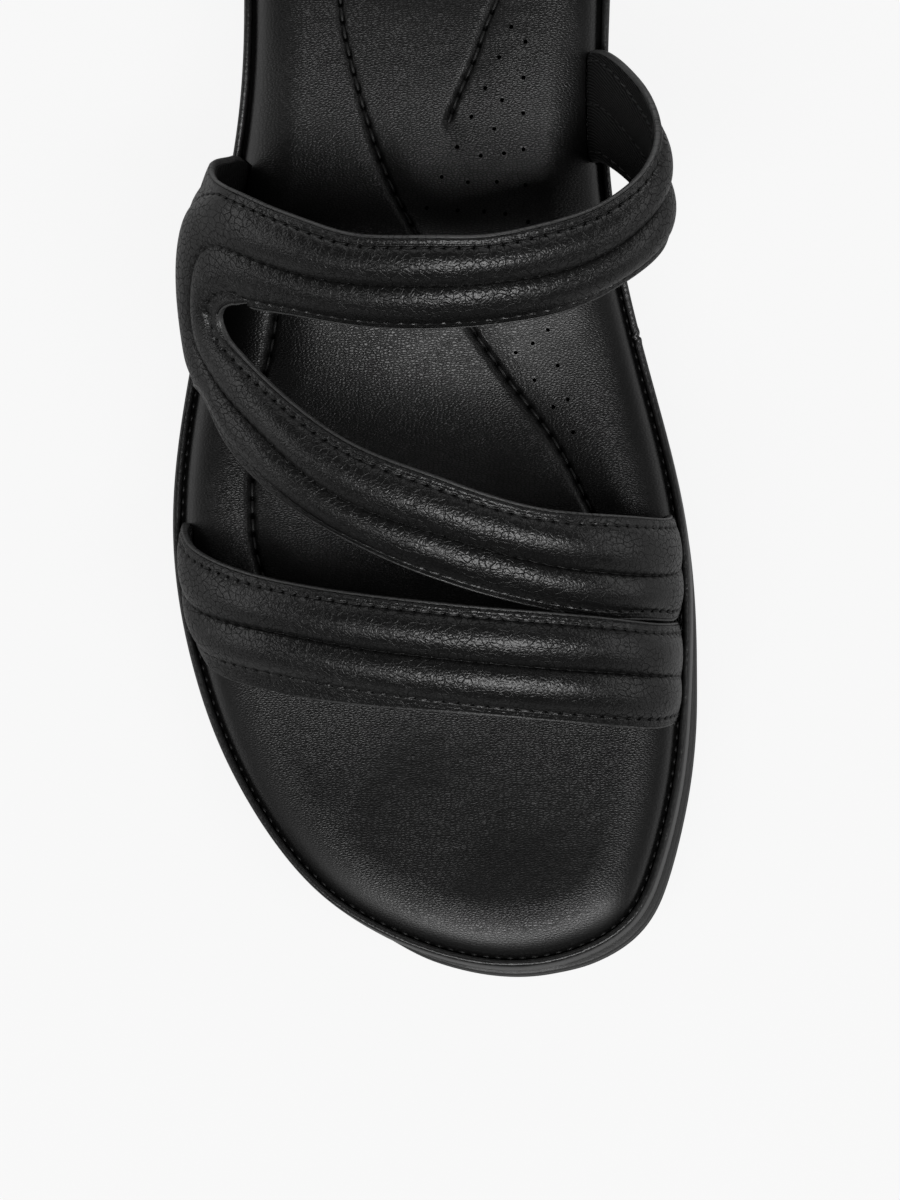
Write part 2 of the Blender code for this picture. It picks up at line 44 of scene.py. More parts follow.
# the right shoe's own frame: toe at -Y, big-toe side at +X, floor at z = 0
# stations are % of the length from the toe, girths run from -100 (lateral seam) over 0 (ridge) to 100
shoe = {
    "length": 250.5, "ballWidth": 99.0, "instepHeight": 55.0,
    "forefootHeight": 22.0, "heelHeight": 32.0, "ballEnd": 42.0, "heelStart": 74.0,
    "toeSpring": 6.0, "soleToeSpring": 6.6, "toeBreak": 22.0,
    "archStart": 45.0, "archEnd": 73.0, "archLift": 3.0, "archRamp": 26.0,
    "heelRoll": 95.0, "groundRoll": 1.2, "outsoleForefoot": 10.5, "outsoleHeel": 14.0,
    "rim": (  # station, lateral and medial reach in % of the ball width
        (2.6, 11.2, 36.6), (7.0, 26.0, 43.0), (14.2, 38.5, 47.3), (22.2, 46.5, 48.9),
        (32.5, 50.9, 48.4), (43.3, 48.8, 42.7), (53.3, 43.7, 36.6), (62.1, 38.8, 33.9),
        (72.1, 36.5, 34.2), (88.0, 34.3, 31.8), (96.8, 20.7, 18.2),
    ),
    "toeTip": 16.0, "toeReach": 0.7, "heelBack": -1.0, "rimSteps": 110,
    "foot": (  # station, inset of the sole's foot from the rim on each side, mm
        (0.0, -0.9, -0.9), (0.8, -0.8, -1.2), (2.5, 0.1, -1.3), (5.0, 0.5, -1.3), (12.0, 0.5, -1.1),
        (18.0, 0.0, -1.05), (24.0, -0.6, -0.6), (30.0, -0.9, -0.1), (42.0, -0.3, 0.6),
        (56.0, 0.8, 1.8), (72.0, 1.0, 1.4), (88.0, 0.8, 0.8), (100.0, 0.6, 0.6),
    ),
    "last": (  # station, ridge, crown, lateral and medial overhang in mm
        (12.0, 11.1, 49.0, 1.2, 0.6), (22.0, 10.1, 60.0, 1.2, 0.6), (32.0, 9.1, 71.0, 1.2, 1.0),
        (44.0, 8.1, 85.5, 1.2, 5.0), (54.0, 7.1, 100.0, 8.0, 13.5), (64.0, 6.1, 111.0, 8.7, 14.5),
        (74.0, 6.1, 120.0, 8.0, 14.0),
    ),
    "lateralSlope": 1.2, "medialSlope": 0.9, "seamInset": 3.8, "seamRise": 1.5,
}


def ease(value):
    value = np.clip(value, 0.0, 1.0)
    return value * value * (3.0 - 2.0 * value)


def toY(along):
    return (np.asarray(along, float) / 100.0 - 0.5) * shoe["length"]


def hermite(knots, values, tangents, at):
    at = np.clip(np.asarray(at, float), knots[0], knots[-1])
    span = np.clip(np.searchsorted(knots, at, side="right") - 1, 0, len(knots) - 2)
    width = knots[span + 1] - knots[span]
    t = (at - knots[span]) / width
    return (
        values[span] * (1 + 2 * t) * (1 - t) ** 2
        + tangents[span] * width * t * (1 - t) ** 2
        + values[span + 1] * t * t * (3 - 2 * t)
        + tangents[span + 1] * width * t * t * (t - 1)
    )


def monotone(knots, values, at):  # never overshoots its table
    knots, values = np.asarray(knots, float), np.asarray(values, float)
    slopes = np.diff(values) / np.diff(knots)
    tangents = np.zeros_like(values)
    tangents[0], tangents[-1] = slopes[0], slopes[-1]
    before, after = slopes[:-1], slopes[1:]
    sameSense = before * after > 0
    total = np.where(sameSense, before + after, 1.0)
    tangents[1:-1] = np.where(sameSense, 2.0 * before * after / total, 0.0)
    return hermite(knots, values, tangents, at)


def natural(knots, values, at):  # natural cubic spline
    knots, values = np.asarray(knots, float), np.asarray(values, float)
    steps = np.diff(knots)
    slopes = np.diff(values) / steps
    count = len(knots)
    matrix, right = np.eye(count), np.zeros(count)
    for i in range(1, count - 1):
        matrix[i, i - 1 : i + 2] = steps[i - 1], 2.0 * (steps[i - 1] + steps[i]), steps[i]
        right[i] = 6.0 * (slopes[i] - slopes[i - 1])
    bends = np.linalg.solve(matrix, right)
    tangents = np.append(
        slopes - steps * (2.0 * bends[:-1] + bends[1:]) / 6.0,
        slopes[-1] + steps[-1] * (2.0 * bends[-1] + bends[-2]) / 6.0,
    )
    return hermite(knots, values, tangents, at)


def rimCurve():
    rows = np.array(shoe["rim"])
    y, half = toY(rows[:, 0]), shoe["ballWidth"] / 100.0
    lateral = np.stack([-rows[:, 1] * half, y], axis=1)
    medial = np.stack([rows[:, 2] * half, y], axis=1)
    heel = np.array([[shoe["heelBack"] * half, shoe["length"] / 2]])
    toe = np.array([[shoe["toeTip"] * half, -shoe["length"] / 2 - shoe["toeReach"]]])
    points = np.concatenate([heel, lateral[::-1], toe, medial])
    count = len(points)
    looped = np.concatenate([points] * 3 + [points[:1]])
    knots = np.append(0.0, np.cumsum(np.sqrt(np.linalg.norm(np.diff(looped, axis=0), axis=1))))
    at = np.linspace(knots[count], knots[2 * count], count * shoe["rimSteps"], endpoint=False)
    curve = np.stack([natural(knots, looped[:, axis], at) for axis in (0, 1)], axis=1)
    return np.roll(curve, -int(curve[:, 1].argmax()), axis=0)


rim = rimCurve()
rimToe = int(rim[:, 1].argmin())
rimTangent = np.roll(rim, -1, axis=0) - np.roll(rim, 1, axis=0)
rimTangent /= np.linalg.norm(rimTangent, axis=1, keepdims=True)
rimInward = np.stack([-rimTangent[:, 1], rimTangent[:, 0]], axis=1)
rimMedial = np.arange(len(rim)) >= rimToe


def inset(distance):  # the rim's outline moved inwards, by one distance or one for each point
    return rim + rimInward * np.reshape(distance, (-1, 1))


def sideX(y, distance, medial):
    curve = inset(distance)
    toe = int(curve[:, 1].argmin())
    side = np.concatenate([curve[toe:], curve[:1]]) if medial else curve[: toe + 1][::-1]
    return np.interp(y, side[:, 1], side[:, 0])


def toeShare(y):
    return np.clip((toY(shoe["toeBreak"]) - y) / (toY(shoe["toeBreak"]) - toY(0.0)), 0, 1) ** 2


def heelShare(y):
    return ease((y - toY(shoe["ballEnd"])) / (toY(shoe["heelStart"]) - toY(shoe["ballEnd"])))


def rimHeight(y):
    rise = (shoe["heelHeight"] - shoe["forefootHeight"]) * heelShare(y)
    return shoe["forefootHeight"] + rise + shoe["toeSpring"] * toeShare(y)


def outsoleTop(y):
    rise = (shoe["outsoleHeel"] - shoe["outsoleForefoot"]) * heelShare(y)
    return shoe["outsoleForefoot"] + rise + shoe["toeSpring"] * toeShare(y)


def groundHeight(y):
    ramp = shoe["archRamp"]
    arch = ease((y - toY(shoe["archStart"])) / ramp) * ease((toY(shoe["archEnd"]) - y) / ramp)
    heelEnd = np.clip((y - toY(shoe["heelRoll"])) / (toY(100.0) - toY(shoe["heelRoll"])), 0, 1) ** 2
    return shoe["archLift"] * arch + shoe["soleToeSpring"] * toeShare(y) + shoe["groundRoll"] * heelEnd


def footInset():
    rows = np.array(shoe["foot"])
    along = np.clip((rim[:, 1] / shoe["length"] + 0.5) * 100.0, 0.0, 100.0)
    sides = [monotone(rows[:, 0], rows[:, column], along) for column in (1, 2)]
    return np.where(rimMedial, sides[1], sides[0])


def lastPoint(girth, along):  # past a girth of 100 the wall drops straight down
    girth, along = np.broadcast_arrays(np.asarray(girth, float), np.asarray(along, float))
    rows = np.array(shoe["last"])
    ridge, crown, overLateral, overMedial = (monotone(rows[:, 0], rows[:, c], along) for c in (1, 2, 3, 4))
    ridge = ridge * shoe["ballWidth"] / 100.0
    crown = crown * shoe["instepHeight"] / 100.0
    y = toY(along)
    medial = girth > 0
    seam = np.where(medial, sideX(y, shoe["seamInset"], True), sideX(y, shoe["seamInset"], False))
    over = np.where(medial, overMedial, overLateral)
    slope = np.where(medial, shoe["medialSlope"], shoe["lateralSlope"])
    turn = np.clip(1.0 - np.abs(girth) / 100.0, 0.0, 1.0) * math.pi / 2
    cosine, sine = np.cos(turn), np.sin(turn)
    bulge = 16.0 / (3.0 * math.sqrt(3.0))  # makes the peak of sine * cosine**3 come to 1
    out = np.abs(seam - ridge) * cosine**slope + over * bulge * sine * cosine**3
    drop = np.clip(np.abs(girth) - 100.0, 0.0, None)
    z = rimHeight(y) + shoe["seamRise"] + crown * sine**slope - drop
    return np.stack([ridge + np.where(medial, out, -out), y, z], axis=-1)


# the photograph's camera
cameraPlace = {
    "turn": 34.0, "lift": 82.8, "away": 1500.0, "aim": (2.9, -55.7, 24.0), "pxPerMm": 5.25, "longSide": 1200,
    "clipEnd": 20.0,
}


def addCamera():
    turn, lift = math.radians(cameraPlace["turn"]), math.radians(cameraPlace["lift"])
    back = Vector((math.sin(turn) * math.cos(lift), -math.cos(turn) * math.cos(lift), math.sin(lift)))
    right = (-back).cross(Vector((0, 1, 0))).normalized()
    up = right.cross(-back)
    data = bpy.data.cameras.new("photo camera")
    data.lens = data.sensor_width * cameraPlace["pxPerMm"] * cameraPlace["away"] / cameraPlace["longSide"]
    data.clip_end = cameraPlace["clipEnd"]
    eye = bpy.data.objects.new("photo camera", data)
    place = Matrix((right, up, back)).transposed().to_4x4()
    place.translation = (Vector(cameraPlace["aim"]) + back * cameraPlace["away"]) * mm
    eye.matrix_world = place
    bpy.context.scene.collection.objects.link(eye)
    bpy.context.scene.camera = eye


addCamera()
print("camera set")


class Wire:  # a node socket that does sums; add() makes any other node
    def __init__(self, tree, socket=None):
        self.tree, self.socket = tree, socket

    def add(self, kind, settings=None, sockets=None, out=0):
        node = self.tree.nodes.new(kind)
        for name, value in (settings or {}).items():
            setattr(node, name, value)
        for name, value in (sockets or {}).items():
            self.join(node.inputs[name], value)
        return Wire(self.tree, node.outputs[out])

    def join(self, socket, value):
        if isinstance(value, Wire):
            self.tree.links.new(value.socket, socket)
        else:
            socket.default_value = value

    def sum(self, operation, first, second=None):
        sockets = {0: first} if second is None else {0: first, 1: second}
        return self.add("ShaderNodeMath", {"operation": operation}, sockets)

    def __add__(self, other):
        return self.sum("ADD", self, other)

    def __radd__(self, other):
        return self.sum("ADD", other, self)

    def __sub__(self, other):
        return self.sum("SUBTRACT", self, other)

    def __rsub__(self, other):
        return self.sum("SUBTRACT", other, self)

    def __mul__(self, other):
        return self.sum("MULTIPLY", self, other)

    def __rmul__(self, other):
        return self.sum("MULTIPLY", other, self)

    def ramp(self, low, high, start=0.0, end=1.0):  # smooth step between two values
        return self.add(
            "ShaderNodeMapRange", {"interpolation_type": "SMOOTHSTEP"},
            {"Value": self, "From Min": low, "From Max": high, "To Min": start, "To Max": end},
        )

    def blend(self, first, second):  # two colours by this factor
        return self.add("ShaderNodeMix", {"data_type": "RGBA"}, {0: self, 6: first, 7: second}, 2)


def newMaterial(name):
    material = bpy.data.materials.new(name)
    material.use_nodes = True
    return material, Wire(material.node_tree), material.node_tree.nodes["Principled BSDF"]


def shade(value):
    return (value, value, value, 1.0)


def objectPlace(pen):
    return pen.add("ShaderNodeTexCoord", out=3)


def storedValue(pen, name):  # a number kept on the piece's points or faces
    return pen.add("ShaderNodeAttribute", {"attribute_name": name}, out=2)


def cellEdges(pen, flat, look, cell):
    # pebble cells on a flat pattern, stretched across and along; returns the distance to the nearest crack
    push = pen.add("ShaderNodeTexNoise", {"noise_dimensions": "2D"},
                   {"Vector": flat, "Scale": 1.0 / (look["warpSize"] * mm), "Detail": 2.0}, 1)
    moved = pen.add("ShaderNodeVectorMath", {"operation": "MULTIPLY_ADD"},
                    {0: push, 1: (look["warp"] * mm,) * 3, 2: flat})
    spread = pen.add("ShaderNodeVectorMath", {"operation": "MULTIPLY"},
                     {0: moved, 1: (1.0 / (cell[0] * mm), 1.0 / (cell[1] * mm), 0.0)})
    return pen.add("ShaderNodeTexVoronoi", {"feature": "DISTANCE_TO_EDGE", "voronoi_dimensions": "2D"},
                   {"Vector": spread, "Scale": 1.0})


def noise(pen, place, size, detail=2.0):  # a noise whose grain has this size in mm
    return pen.add("ShaderNodeTexNoise",
                   sockets={"Vector": place, "Scale": 1.0 / (size * mm), "Detail": detail})


def poresAndPatches(pen, place, look):
    return noise(pen, place, look["pore"], detail=3.0), noise(pen, place, look["patch"])


def mottled(patches, look):  # the skin's shade, darker and lighter in patches
    return patches.blend(*(shade(look["shade"] * part) for part in look["mottle"]))


def finishSkin(pen, shader, look, colour, rough, height):  # height in mm
    bump = pen.add("ShaderNodeBump", sockets={"Strength": 1.0, "Distance": mm, "Height": height})
    for name, value in (("Base Color", colour), ("Roughness", rough), ("Normal", bump)):
        pen.join(shader.inputs[name], value)
    shader.inputs["Specular IOR Level"].default_value = look["gloss"]


# near-black colour of the painted shade in needle holes, pinholes, cracks and folds
paintedHoleShade = 0.0004


def paintHoleShade(pen, shader, holes):  # painted shade: needle holes and cracks are mixed towards a near-black diffuse
    void = pen.add("ShaderNodeBsdfDiffuse", sockets={"Color": shade(paintedHoleShade)})
    skin = Wire(pen.tree, shader.outputs[0])
    mixed = pen.add("ShaderNodeMixShader", sockets={0: holes, 1: skin, 2: void})
    pen.join(pen.tree.nodes["Material Output"].inputs["Surface"], mixed)


# sizes and depths in mm; a fade is from, to and the values there
strapLook = {
    "shade": 0.0040, "mottle": (0.85, 1.15), "crackPaintedShade": 0.001, "edgeShade": 0.032, "gloss": 0.44,
    "rough": 0.30, "edgeRough": 0.36, "poreRough": 0.12, "crackRough": 0.3,
    "cell": (1.42, 1.14), "crackWidth": 0.09, "crackDepth": 0.055, "crackShadePaint": 0.55,
    "grain": (0.80, 0.62), "domeWidth": 0.36, "grainDepth": 0.032, "warp": 1.2, "warpSize": 2.2,
    "pore": 0.3, "poreDepth": 0.008, "patch": 14.0, "patchFade": (0.34, 0.56, 0.25, 1.0),
    "holeShadePaint": 0.65, "holeFade": (0.15, 0.9),
}


def strapLeather():
    material, pen, shader = newMaterial("strap leather")
    look = strapLook
    flat = pen.add("ShaderNodeUVMap", {"uv_map": "cut"})
    cracks = cellEdges(pen, flat, look, look["cell"]).ramp(0.0, look["crackWidth"])
    domes = cellEdges(pen, flat, look, look["grain"]).ramp(0.0, look["domeWidth"])
    pores, patches = poresAndPatches(pen, objectPlace(pen), look)
    edge, needle = storedValue(pen, "edgePaint"), storedValue(pen, "needle")
    broken = patches.ramp(*look["patchFade"])
    gaps = (1 - cracks) * broken
    height = cracks * broken * look["crackDepth"] + domes * look["grainDepth"] + pores * look["poreDepth"]
    # painted shade: the cracks between the cells are coloured near black
    skin = cracks.blend(shade(look["crackPaintedShade"]), mottled(patches, look))
    rough = look["rough"] + (pores - 0.5) * look["poreRough"] + gaps * look["crackRough"]
    rough = rough * (1 - edge) + edge * look["edgeRough"]
    finishSkin(pen, shader, look, edge.blend(skin, shade(look["edgeShade"])), rough, height * (1 - edge))
    # painted shade in the needle holes and the cracks, the cracks darkest where the skin is broken up
    holes = needle.ramp(*look["holeFade"]) * look["holeShadePaint"]
    paintHoleShade(pen, shader, pen.sum("MAXIMUM", holes, gaps * look["crackShadePaint"]))
    return material


footbedLook = {
    "shade": 0.0040, "mottle": (0.85, 1.15), "foldPaintedShade": 0.001, "gloss": 0.44,
    "rough": 0.30, "poreRough": 0.12, "foldRough": 0.25,
    "fold": (0.84, 0.42), "domeWidth": 0.40, "foldDepth": 0.038, "foldWidth": 0.20, "foldShadePaint": 0.45,
    "warp": 0.6, "warpSize": 3.0, "pore": 0.28, "poreDepth": 0.006, "holeShadePaint": 0.9, "holeFade": (0.15, 0.8),
    "patch": 16.0, "patchFade": (0.34, 0.62, 0.7, 1.0), "edgeFade": (2.0, 8.0, 0.2, 1.0),
}


def footbedLeather():
    material, pen, shader = newMaterial("footbed leather")
    look = footbedLook
    place = objectPlace(pen)
    edges = cellEdges(pen, place, look, look["fold"])
    domes, folds = edges.ramp(0.0, look["domeWidth"]), edges.ramp(0.0, look["foldWidth"], 1.0, 0.0)
    pores, patches = poresAndPatches(pen, place, look)
    # the rolled edge is drawn smooth, the middle folds into short crosswise wrinkles
    depth = patches.ramp(*look["patchFade"]) * storedValue(pen, "inward").ramp(*look["edgeFade"])
    height = domes * depth * look["foldDepth"] + pores * look["poreDepth"]
    # painted shade: the folds between the pebbles are coloured near black
    colour = domes.blend(shade(look["foldPaintedShade"]), mottled(patches, look))
    rough = look["rough"] + (pores - 0.5) * look["poreRough"] + (1 - domes) * depth * look["foldRough"]
    finishSkin(pen, shader, look, colour, rough, height)
    # painted shade in the needle holes, on the pinholes' cut faces and in the folds
    needle, punched = storedValue(pen, "needle").ramp(*look["holeFade"]), storedValue(pen, "punched")
    holes = pen.sum("MAXIMUM", needle, punched) * look["holeShadePaint"]
    paintHoleShade(pen, shader, pen.sum("MAXIMUM", holes, folds * depth * look["foldShadePaint"]))
    return material


wrapLook = {
    "shade": 0.010, "mottle": (0.85, 1.2), "low": 0.006, "rough": 0.33, "poreRough": 0.18, "gloss": 0.5,
    "cell": 0.8, "cellFade": (0.25, 0.75), "depth": 0.05, "pore": 0.3, "poreDepth": 0.03, "patch": 14.0,
}


def wrapLeather():
    material, pen, shader = newMaterial("wrap leather")
    look = wrapLook
    place = objectPlace(pen)
    scale = 1.0 / (look["cell"] * mm)
    cells = pen.add("ShaderNodeTexVoronoi", {"feature": "F1"}, {"Vector": place, "Scale": scale})
    pores, patches = poresAndPatches(pen, place, look)
    # painted shade: the hollows between the grain cells, where the bump sinks, are coloured darker
    colour = cells.ramp(*look["cellFade"]).blend(mottled(patches, look), shade(look["low"]))
    rough = look["rough"] + (pores - 0.5) * look["poreRough"]
    finishSkin(pen, shader, look, colour, rough, pores * look["poreDepth"] - cells * look["depth"])
    return material


rubberLook = {
    "shade": 0.014, "dust": 0.020, "dustFade": (0.35, 0.7), "patch": 22.0,
    "rough": 0.50, "grainRough": 0.2, "gloss": 0.5, "grain": 0.45, "depth": 0.04,
}


def soleRubber():
    material, pen, shader = newMaterial("sole rubber")
    look = rubberLook
    place = objectPlace(pen)
    fine, broad = noise(pen, place, look["grain"], detail=4.0), noise(pen, place, look["patch"], detail=3.0)
    colour = broad.ramp(*look["dustFade"]).blend(shade(look["shade"]), shade(look["dust"]))
    rough = look["rough"] + (fine - 0.5) * look["grainRough"]
    finishSkin(pen, shader, look, colour, rough, fine * look["depth"])
    return material


threadLook = {
    "shade": 0.003, "glint": 0.007, "glintFade": (0.3, 0.7), "rough": 0.5, "fibreRough": 0.3, "gloss": 0.25,
    "fibre": 0.14, "depth": 0.05,
}
strapThreadLook = {**threadLook, "shade": 0.002, "glint": 0.005, "gloss": 0.35, "depth": 0.03}


def sewingThread(name, look):
    material, pen, shader = newMaterial(name)
    fibre = noise(pen, objectPlace(pen), look["fibre"])
    colour = fibre.ramp(*look["glintFade"]).blend(shade(look["shade"]), shade(look["glint"]))
    rough = look["rough"] + (fibre - 0.5) * look["fibreRough"]
    finishSkin(pen, shader, look, colour, rough, fibre * look["depth"])
    return material


liningLook = {
    "shade": 0.001, "paintedRibLight": 0.012, "ribFade": (0.1, 1.0), "rough": 0.8, "yarnRough": 0.1, "gloss": 0.12,
    "rib": 0.60, "slant": 0.12, "yarn": 0.45, "yarnShare": 0.25, "depth": 0.16,
}


def liningTwill():
    material, pen, shader = newMaterial("twill lining")
    look = liningLook
    flat = pen.add("ShaderNodeUVMap", {"uv_map": "cut"})
    along = pen.add("ShaderNodeSeparateXYZ", sockets={0: flat})
    across = Wire(pen.tree, along.socket.node.outputs[1])

    def wave(place, size):
        return pen.sum("SINE", place * (2 * math.pi / (size * mm))) * 0.5 + 0.5

    # ribs run along the strap with a slight slant, yarns cross them
    ribs, yarns = wave(across + along * look["slant"], look["rib"]), wave(along - across, look["yarn"])
    height = ribs * (1 - look["yarnShare"]) + yarns * ribs * look["yarnShare"]
    # painted light and shade: the rib tops are coloured lighter and the grooves between them darker
    colour = height.ramp(*look["ribFade"]).blend(shade(look["shade"]), shade(look["paintedRibLight"]))
    rough = look["rough"] + (yarns - 0.5) * look["yarnRough"]
    finishSkin(pen, shader, look, colour, rough, height * look["depth"])
    return material


strapSkin, footbedSkin, wrapSkin = strapLeather(), footbedLeather(), wrapLeather()
rubberSkin, liningSkin = soleRubber(), liningTwill()
threadSkin = sewingThread("footbed thread", threadLook)
strapThread = sewingThread("strap thread", strapThreadLook)
print("materials made")


def addObject(name, data):
    thing = bpy.data.objects.new(name, data)
    bpy.context.scene.collection.objects.link(thing)
    return thing


def meshPiece(name, points, faces, material, sharp=None):
    data = bpy.data.meshes.new(name)
    data.from_pydata((np.asarray(points) * mm).tolist(), [], faces)
    data.materials.append(material)
    finishMesh(data, sharp)
    return addObject(name, data)


def finishMesh(data, sharp=None):  # smooth, with edges past this angle in degrees left sharp
    shape = bmesh.new()
    shape.from_mesh(data)
    bmesh.ops.recalc_face_normals(shape, faces=shape.faces)
    shape.to_mesh(data)
    shape.free()
    data.shade_smooth()
    if sharp:
        data.set_sharp_from_angle(angle=math.radians(sharp))


def storeValues(data, name, values):  # one number or one vector for each point
    values = np.asarray(values, np.float32)
    kind, field = ("FLOAT_VECTOR", "vector") if values.ndim > 1 else ("FLOAT", "value")
    data.attributes.new(name, kind, "POINT").data.foreach_set(field, values.ravel())


def guidePoints(name, points, links=(), **values):  # loose points or lines that a node tree reads
    data = bpy.data.meshes.new(name)
    data.from_pydata((np.array(points) * mm).tolist(), list(links), [])
    for label, numbers in values.items():
        storeValues(data, label, numbers)
    return addObject(name, data)


def tubeFaces(rows, columns):  # rings of points joined into a closed tube with both ends capped
    faces = []
    for i in range(rows - 1):
        for j in range(columns):
            k = (j + 1) % columns
            faces.append((i * columns + j, i * columns + k, (i + 1) * columns + k, (i + 1) * columns + j))
    faces.append(tuple(range(columns)))
    faces.append(tuple(range((rows - 1) * columns, rows * columns)))
    return faces


def bakeTree(piece, tree, values):  # runs a node tree on a piece and keeps the plain mesh
    modifier = piece.modifiers.new("maker", "NODES")
    modifier.node_group = tree
    for item in tree.interface.items_tree:
        if item.item_type == "SOCKET" and item.in_out == "INPUT" and item.name in values:
            modifier[item.identifier] = values[item.name]
    bpy.context.view_layer.update()
    graph = bpy.context.evaluated_depsgraph_get()
    ready = piece.evaluated_get(graph)
    made = bpy.data.meshes.new_from_object(ready, preserve_all_data_layers=True, depsgraph=graph)
    made.name = piece.name
    piece.modifiers.clear()
    piece.data = made


def newTree(name, inputs):
    tree = bpy.data.node_groups.new(name, "GeometryNodeTree")
    tree.interface.new_socket("Geometry", in_out="INPUT", socket_type="NodeSocketGeometry")
    for label, kind in inputs:
        tree.interface.new_socket(label, in_out="INPUT", socket_type="NodeSocket" + kind)
    tree.interface.new_socket("Geometry", in_out="OUTPUT", socket_type="NodeSocketGeometry")
    entry = tree.nodes.new("NodeGroupInput")
    close = tree.nodes.new("NodeGroupOutput")
    given = {socket.name: Wire(tree, socket) for socket in entry.outputs if socket.name}
    return tree, Wire(tree), given, close.inputs[0]


def storedVector(pen, name):
    return pen.add("GeometryNodeInputNamedAttribute", {"data_type": "FLOAT_VECTOR"}, {"Name": name})


def turnAboutZ(pen, angle):
    turn = pen.add("ShaderNodeCombineXYZ", sockets={"Z": angle})
    return pen.add("FunctionNodeEulerToRotation", sockets={0: turn})


def stitchTree():
    tree, pen, given, close = newTree(
        "stitch run",
        (("Pitch", "Float"), ("Length", "Float"), ("Thread", "Float"), ("Arch", "Float"), ("Slant", "Float"),
         ("Thread Material", "Material")),
    )
    path = pen.add("GeometryNodeMeshToCurve", sockets={0: given["Geometry"]})
    points = pen.add("GeometryNodeResampleCurve", {"mode": "LENGTH"},
                     {"Curve": path, "Length": given["Pitch"]})
    heading = pen.add("GeometryNodeInputTangent")
    along = pen.add("FunctionNodeAlignRotationToVector", {"axis": "X"}, {"Vector": heading})
    lying = pen.add("FunctionNodeAlignRotationToVector", {"axis": "Z", "pivot_axis": "X"},
                    {"Rotation": along, "Vector": storedVector(pen, "outward")})
    placed = pen.add("FunctionNodeRotateRotation", {"rotation_space": "LOCAL"},
                     {0: lying, 1: turnAboutZ(pen, given["Slant"])})
    # one thread, arched over the leather with both ends below it
    half, low = given["Length"] * 0.5, given["Arch"] * -1.0
    start = pen.add("ShaderNodeCombineXYZ", sockets={"X": half * -1.0, "Z": low})
    middle = pen.add("ShaderNodeCombineXYZ", sockets={"Z": given["Arch"]})
    end = pen.add("ShaderNodeCombineXYZ", sockets={"X": half, "Z": low})
    arc = pen.add("GeometryNodeCurveQuadraticBezier",
                  sockets={"Resolution": 6, "Start": start, "Middle": middle, "End": end})
    ring = pen.add("GeometryNodeCurvePrimitiveCircle", sockets={"Resolution": 6, "Radius": given["Thread"]})
    stitch = pen.add("GeometryNodeCurveToMesh",
                     sockets={"Curve": arc, "Profile Curve": ring, "Fill Caps": True})
    laid = pen.add("GeometryNodeInstanceOnPoints",
                   sockets={"Points": points, "Instance": stitch, "Rotation": placed})
    real = pen.add("GeometryNodeRealizeInstances", sockets={0: laid})
    smooth = pen.add("GeometryNodeSetShadeSmooth", sockets={0: real})
    done = pen.add("GeometryNodeSetMaterial",
                   sockets={"Geometry": smooth, "Material": given["Thread Material"]})
    pen.join(close, done)
    return tree


stitching = stitchTree()


def stitchRun(name, paths, look, material):  # paths are pairs of points and outward directions, mm
    points, outward, links = [], [], []
    for line, normals in paths:
        links += [(len(points) + i, len(points) + i + 1) for i in range(len(line) - 1)]
        points += list(line)
        outward += list(normals)
    piece = guidePoints(name, points, links, outward=outward)
    sizes = {label: look[label.lower()] * mm for label in ("Pitch", "Length", "Thread", "Arch")}
    bakeTree(piece, stitching, {**sizes, "Slant": math.radians(look["slant"]), "Thread Material": material})
    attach(piece, "root")


def cutTree(name, sizes, cutter, mark=None):
    # cutters stand on the points of another object and are taken out of the piece
    tree, pen, given, close = newTree(name, (("Places", "Object"), *sizes, ("Skin", "Material")))
    places = pen.add("GeometryNodeObjectInfo", sockets={"Object": given["Places"]}, out=4)
    stood = pen.add("GeometryNodeInstanceOnPoints", sockets={"Points": places, **cutter(pen, given)})
    tools = pen.add("GeometryNodeRealizeInstances", sockets={0: stood})
    if mark:  # the cut faces carry this name
        tools = pen.add("GeometryNodeStoreNamedAttribute", {"data_type": "FLOAT", "domain": "FACE"},
                        {"Geometry": tools, "Name": mark, "Value": 1.0})
    cut = pen.add("GeometryNodeMeshBoolean", {"operation": "DIFFERENCE", "solver": "EXACT"},
                  {0: given["Geometry"], 1: tools})
    real = pen.add("GeometryNodeRealizeInstances", sockets={0: cut})
    done = pen.add("GeometryNodeSetMaterial", sockets={"Geometry": real, "Material": given["Skin"]})
    pen.join(close, done)
    return tree


def cutOut(piece, tree, places, sizes, sharp):
    bakeTree(piece, tree, {"Places": places, "Skin": piece.data.materials[0], **sizes})
    bpy.data.objects.remove(places)
    finishMesh(piece.data, sharp)


def pathLength(line):
    return np.append(0.0, np.cumsum(np.linalg.norm(np.diff(line, axis=0), axis=1)))


def needleHoles(run, pitch, reach):  # 1 at the needle holes, which lie half-way between the stitches
    steps = max(1, int(run[-1] / pitch))
    phase = run / (run[-1] / steps)
    return np.exp(-((np.abs(phase - np.floor(phase) - 0.5) * pitch / reach) ** 2))


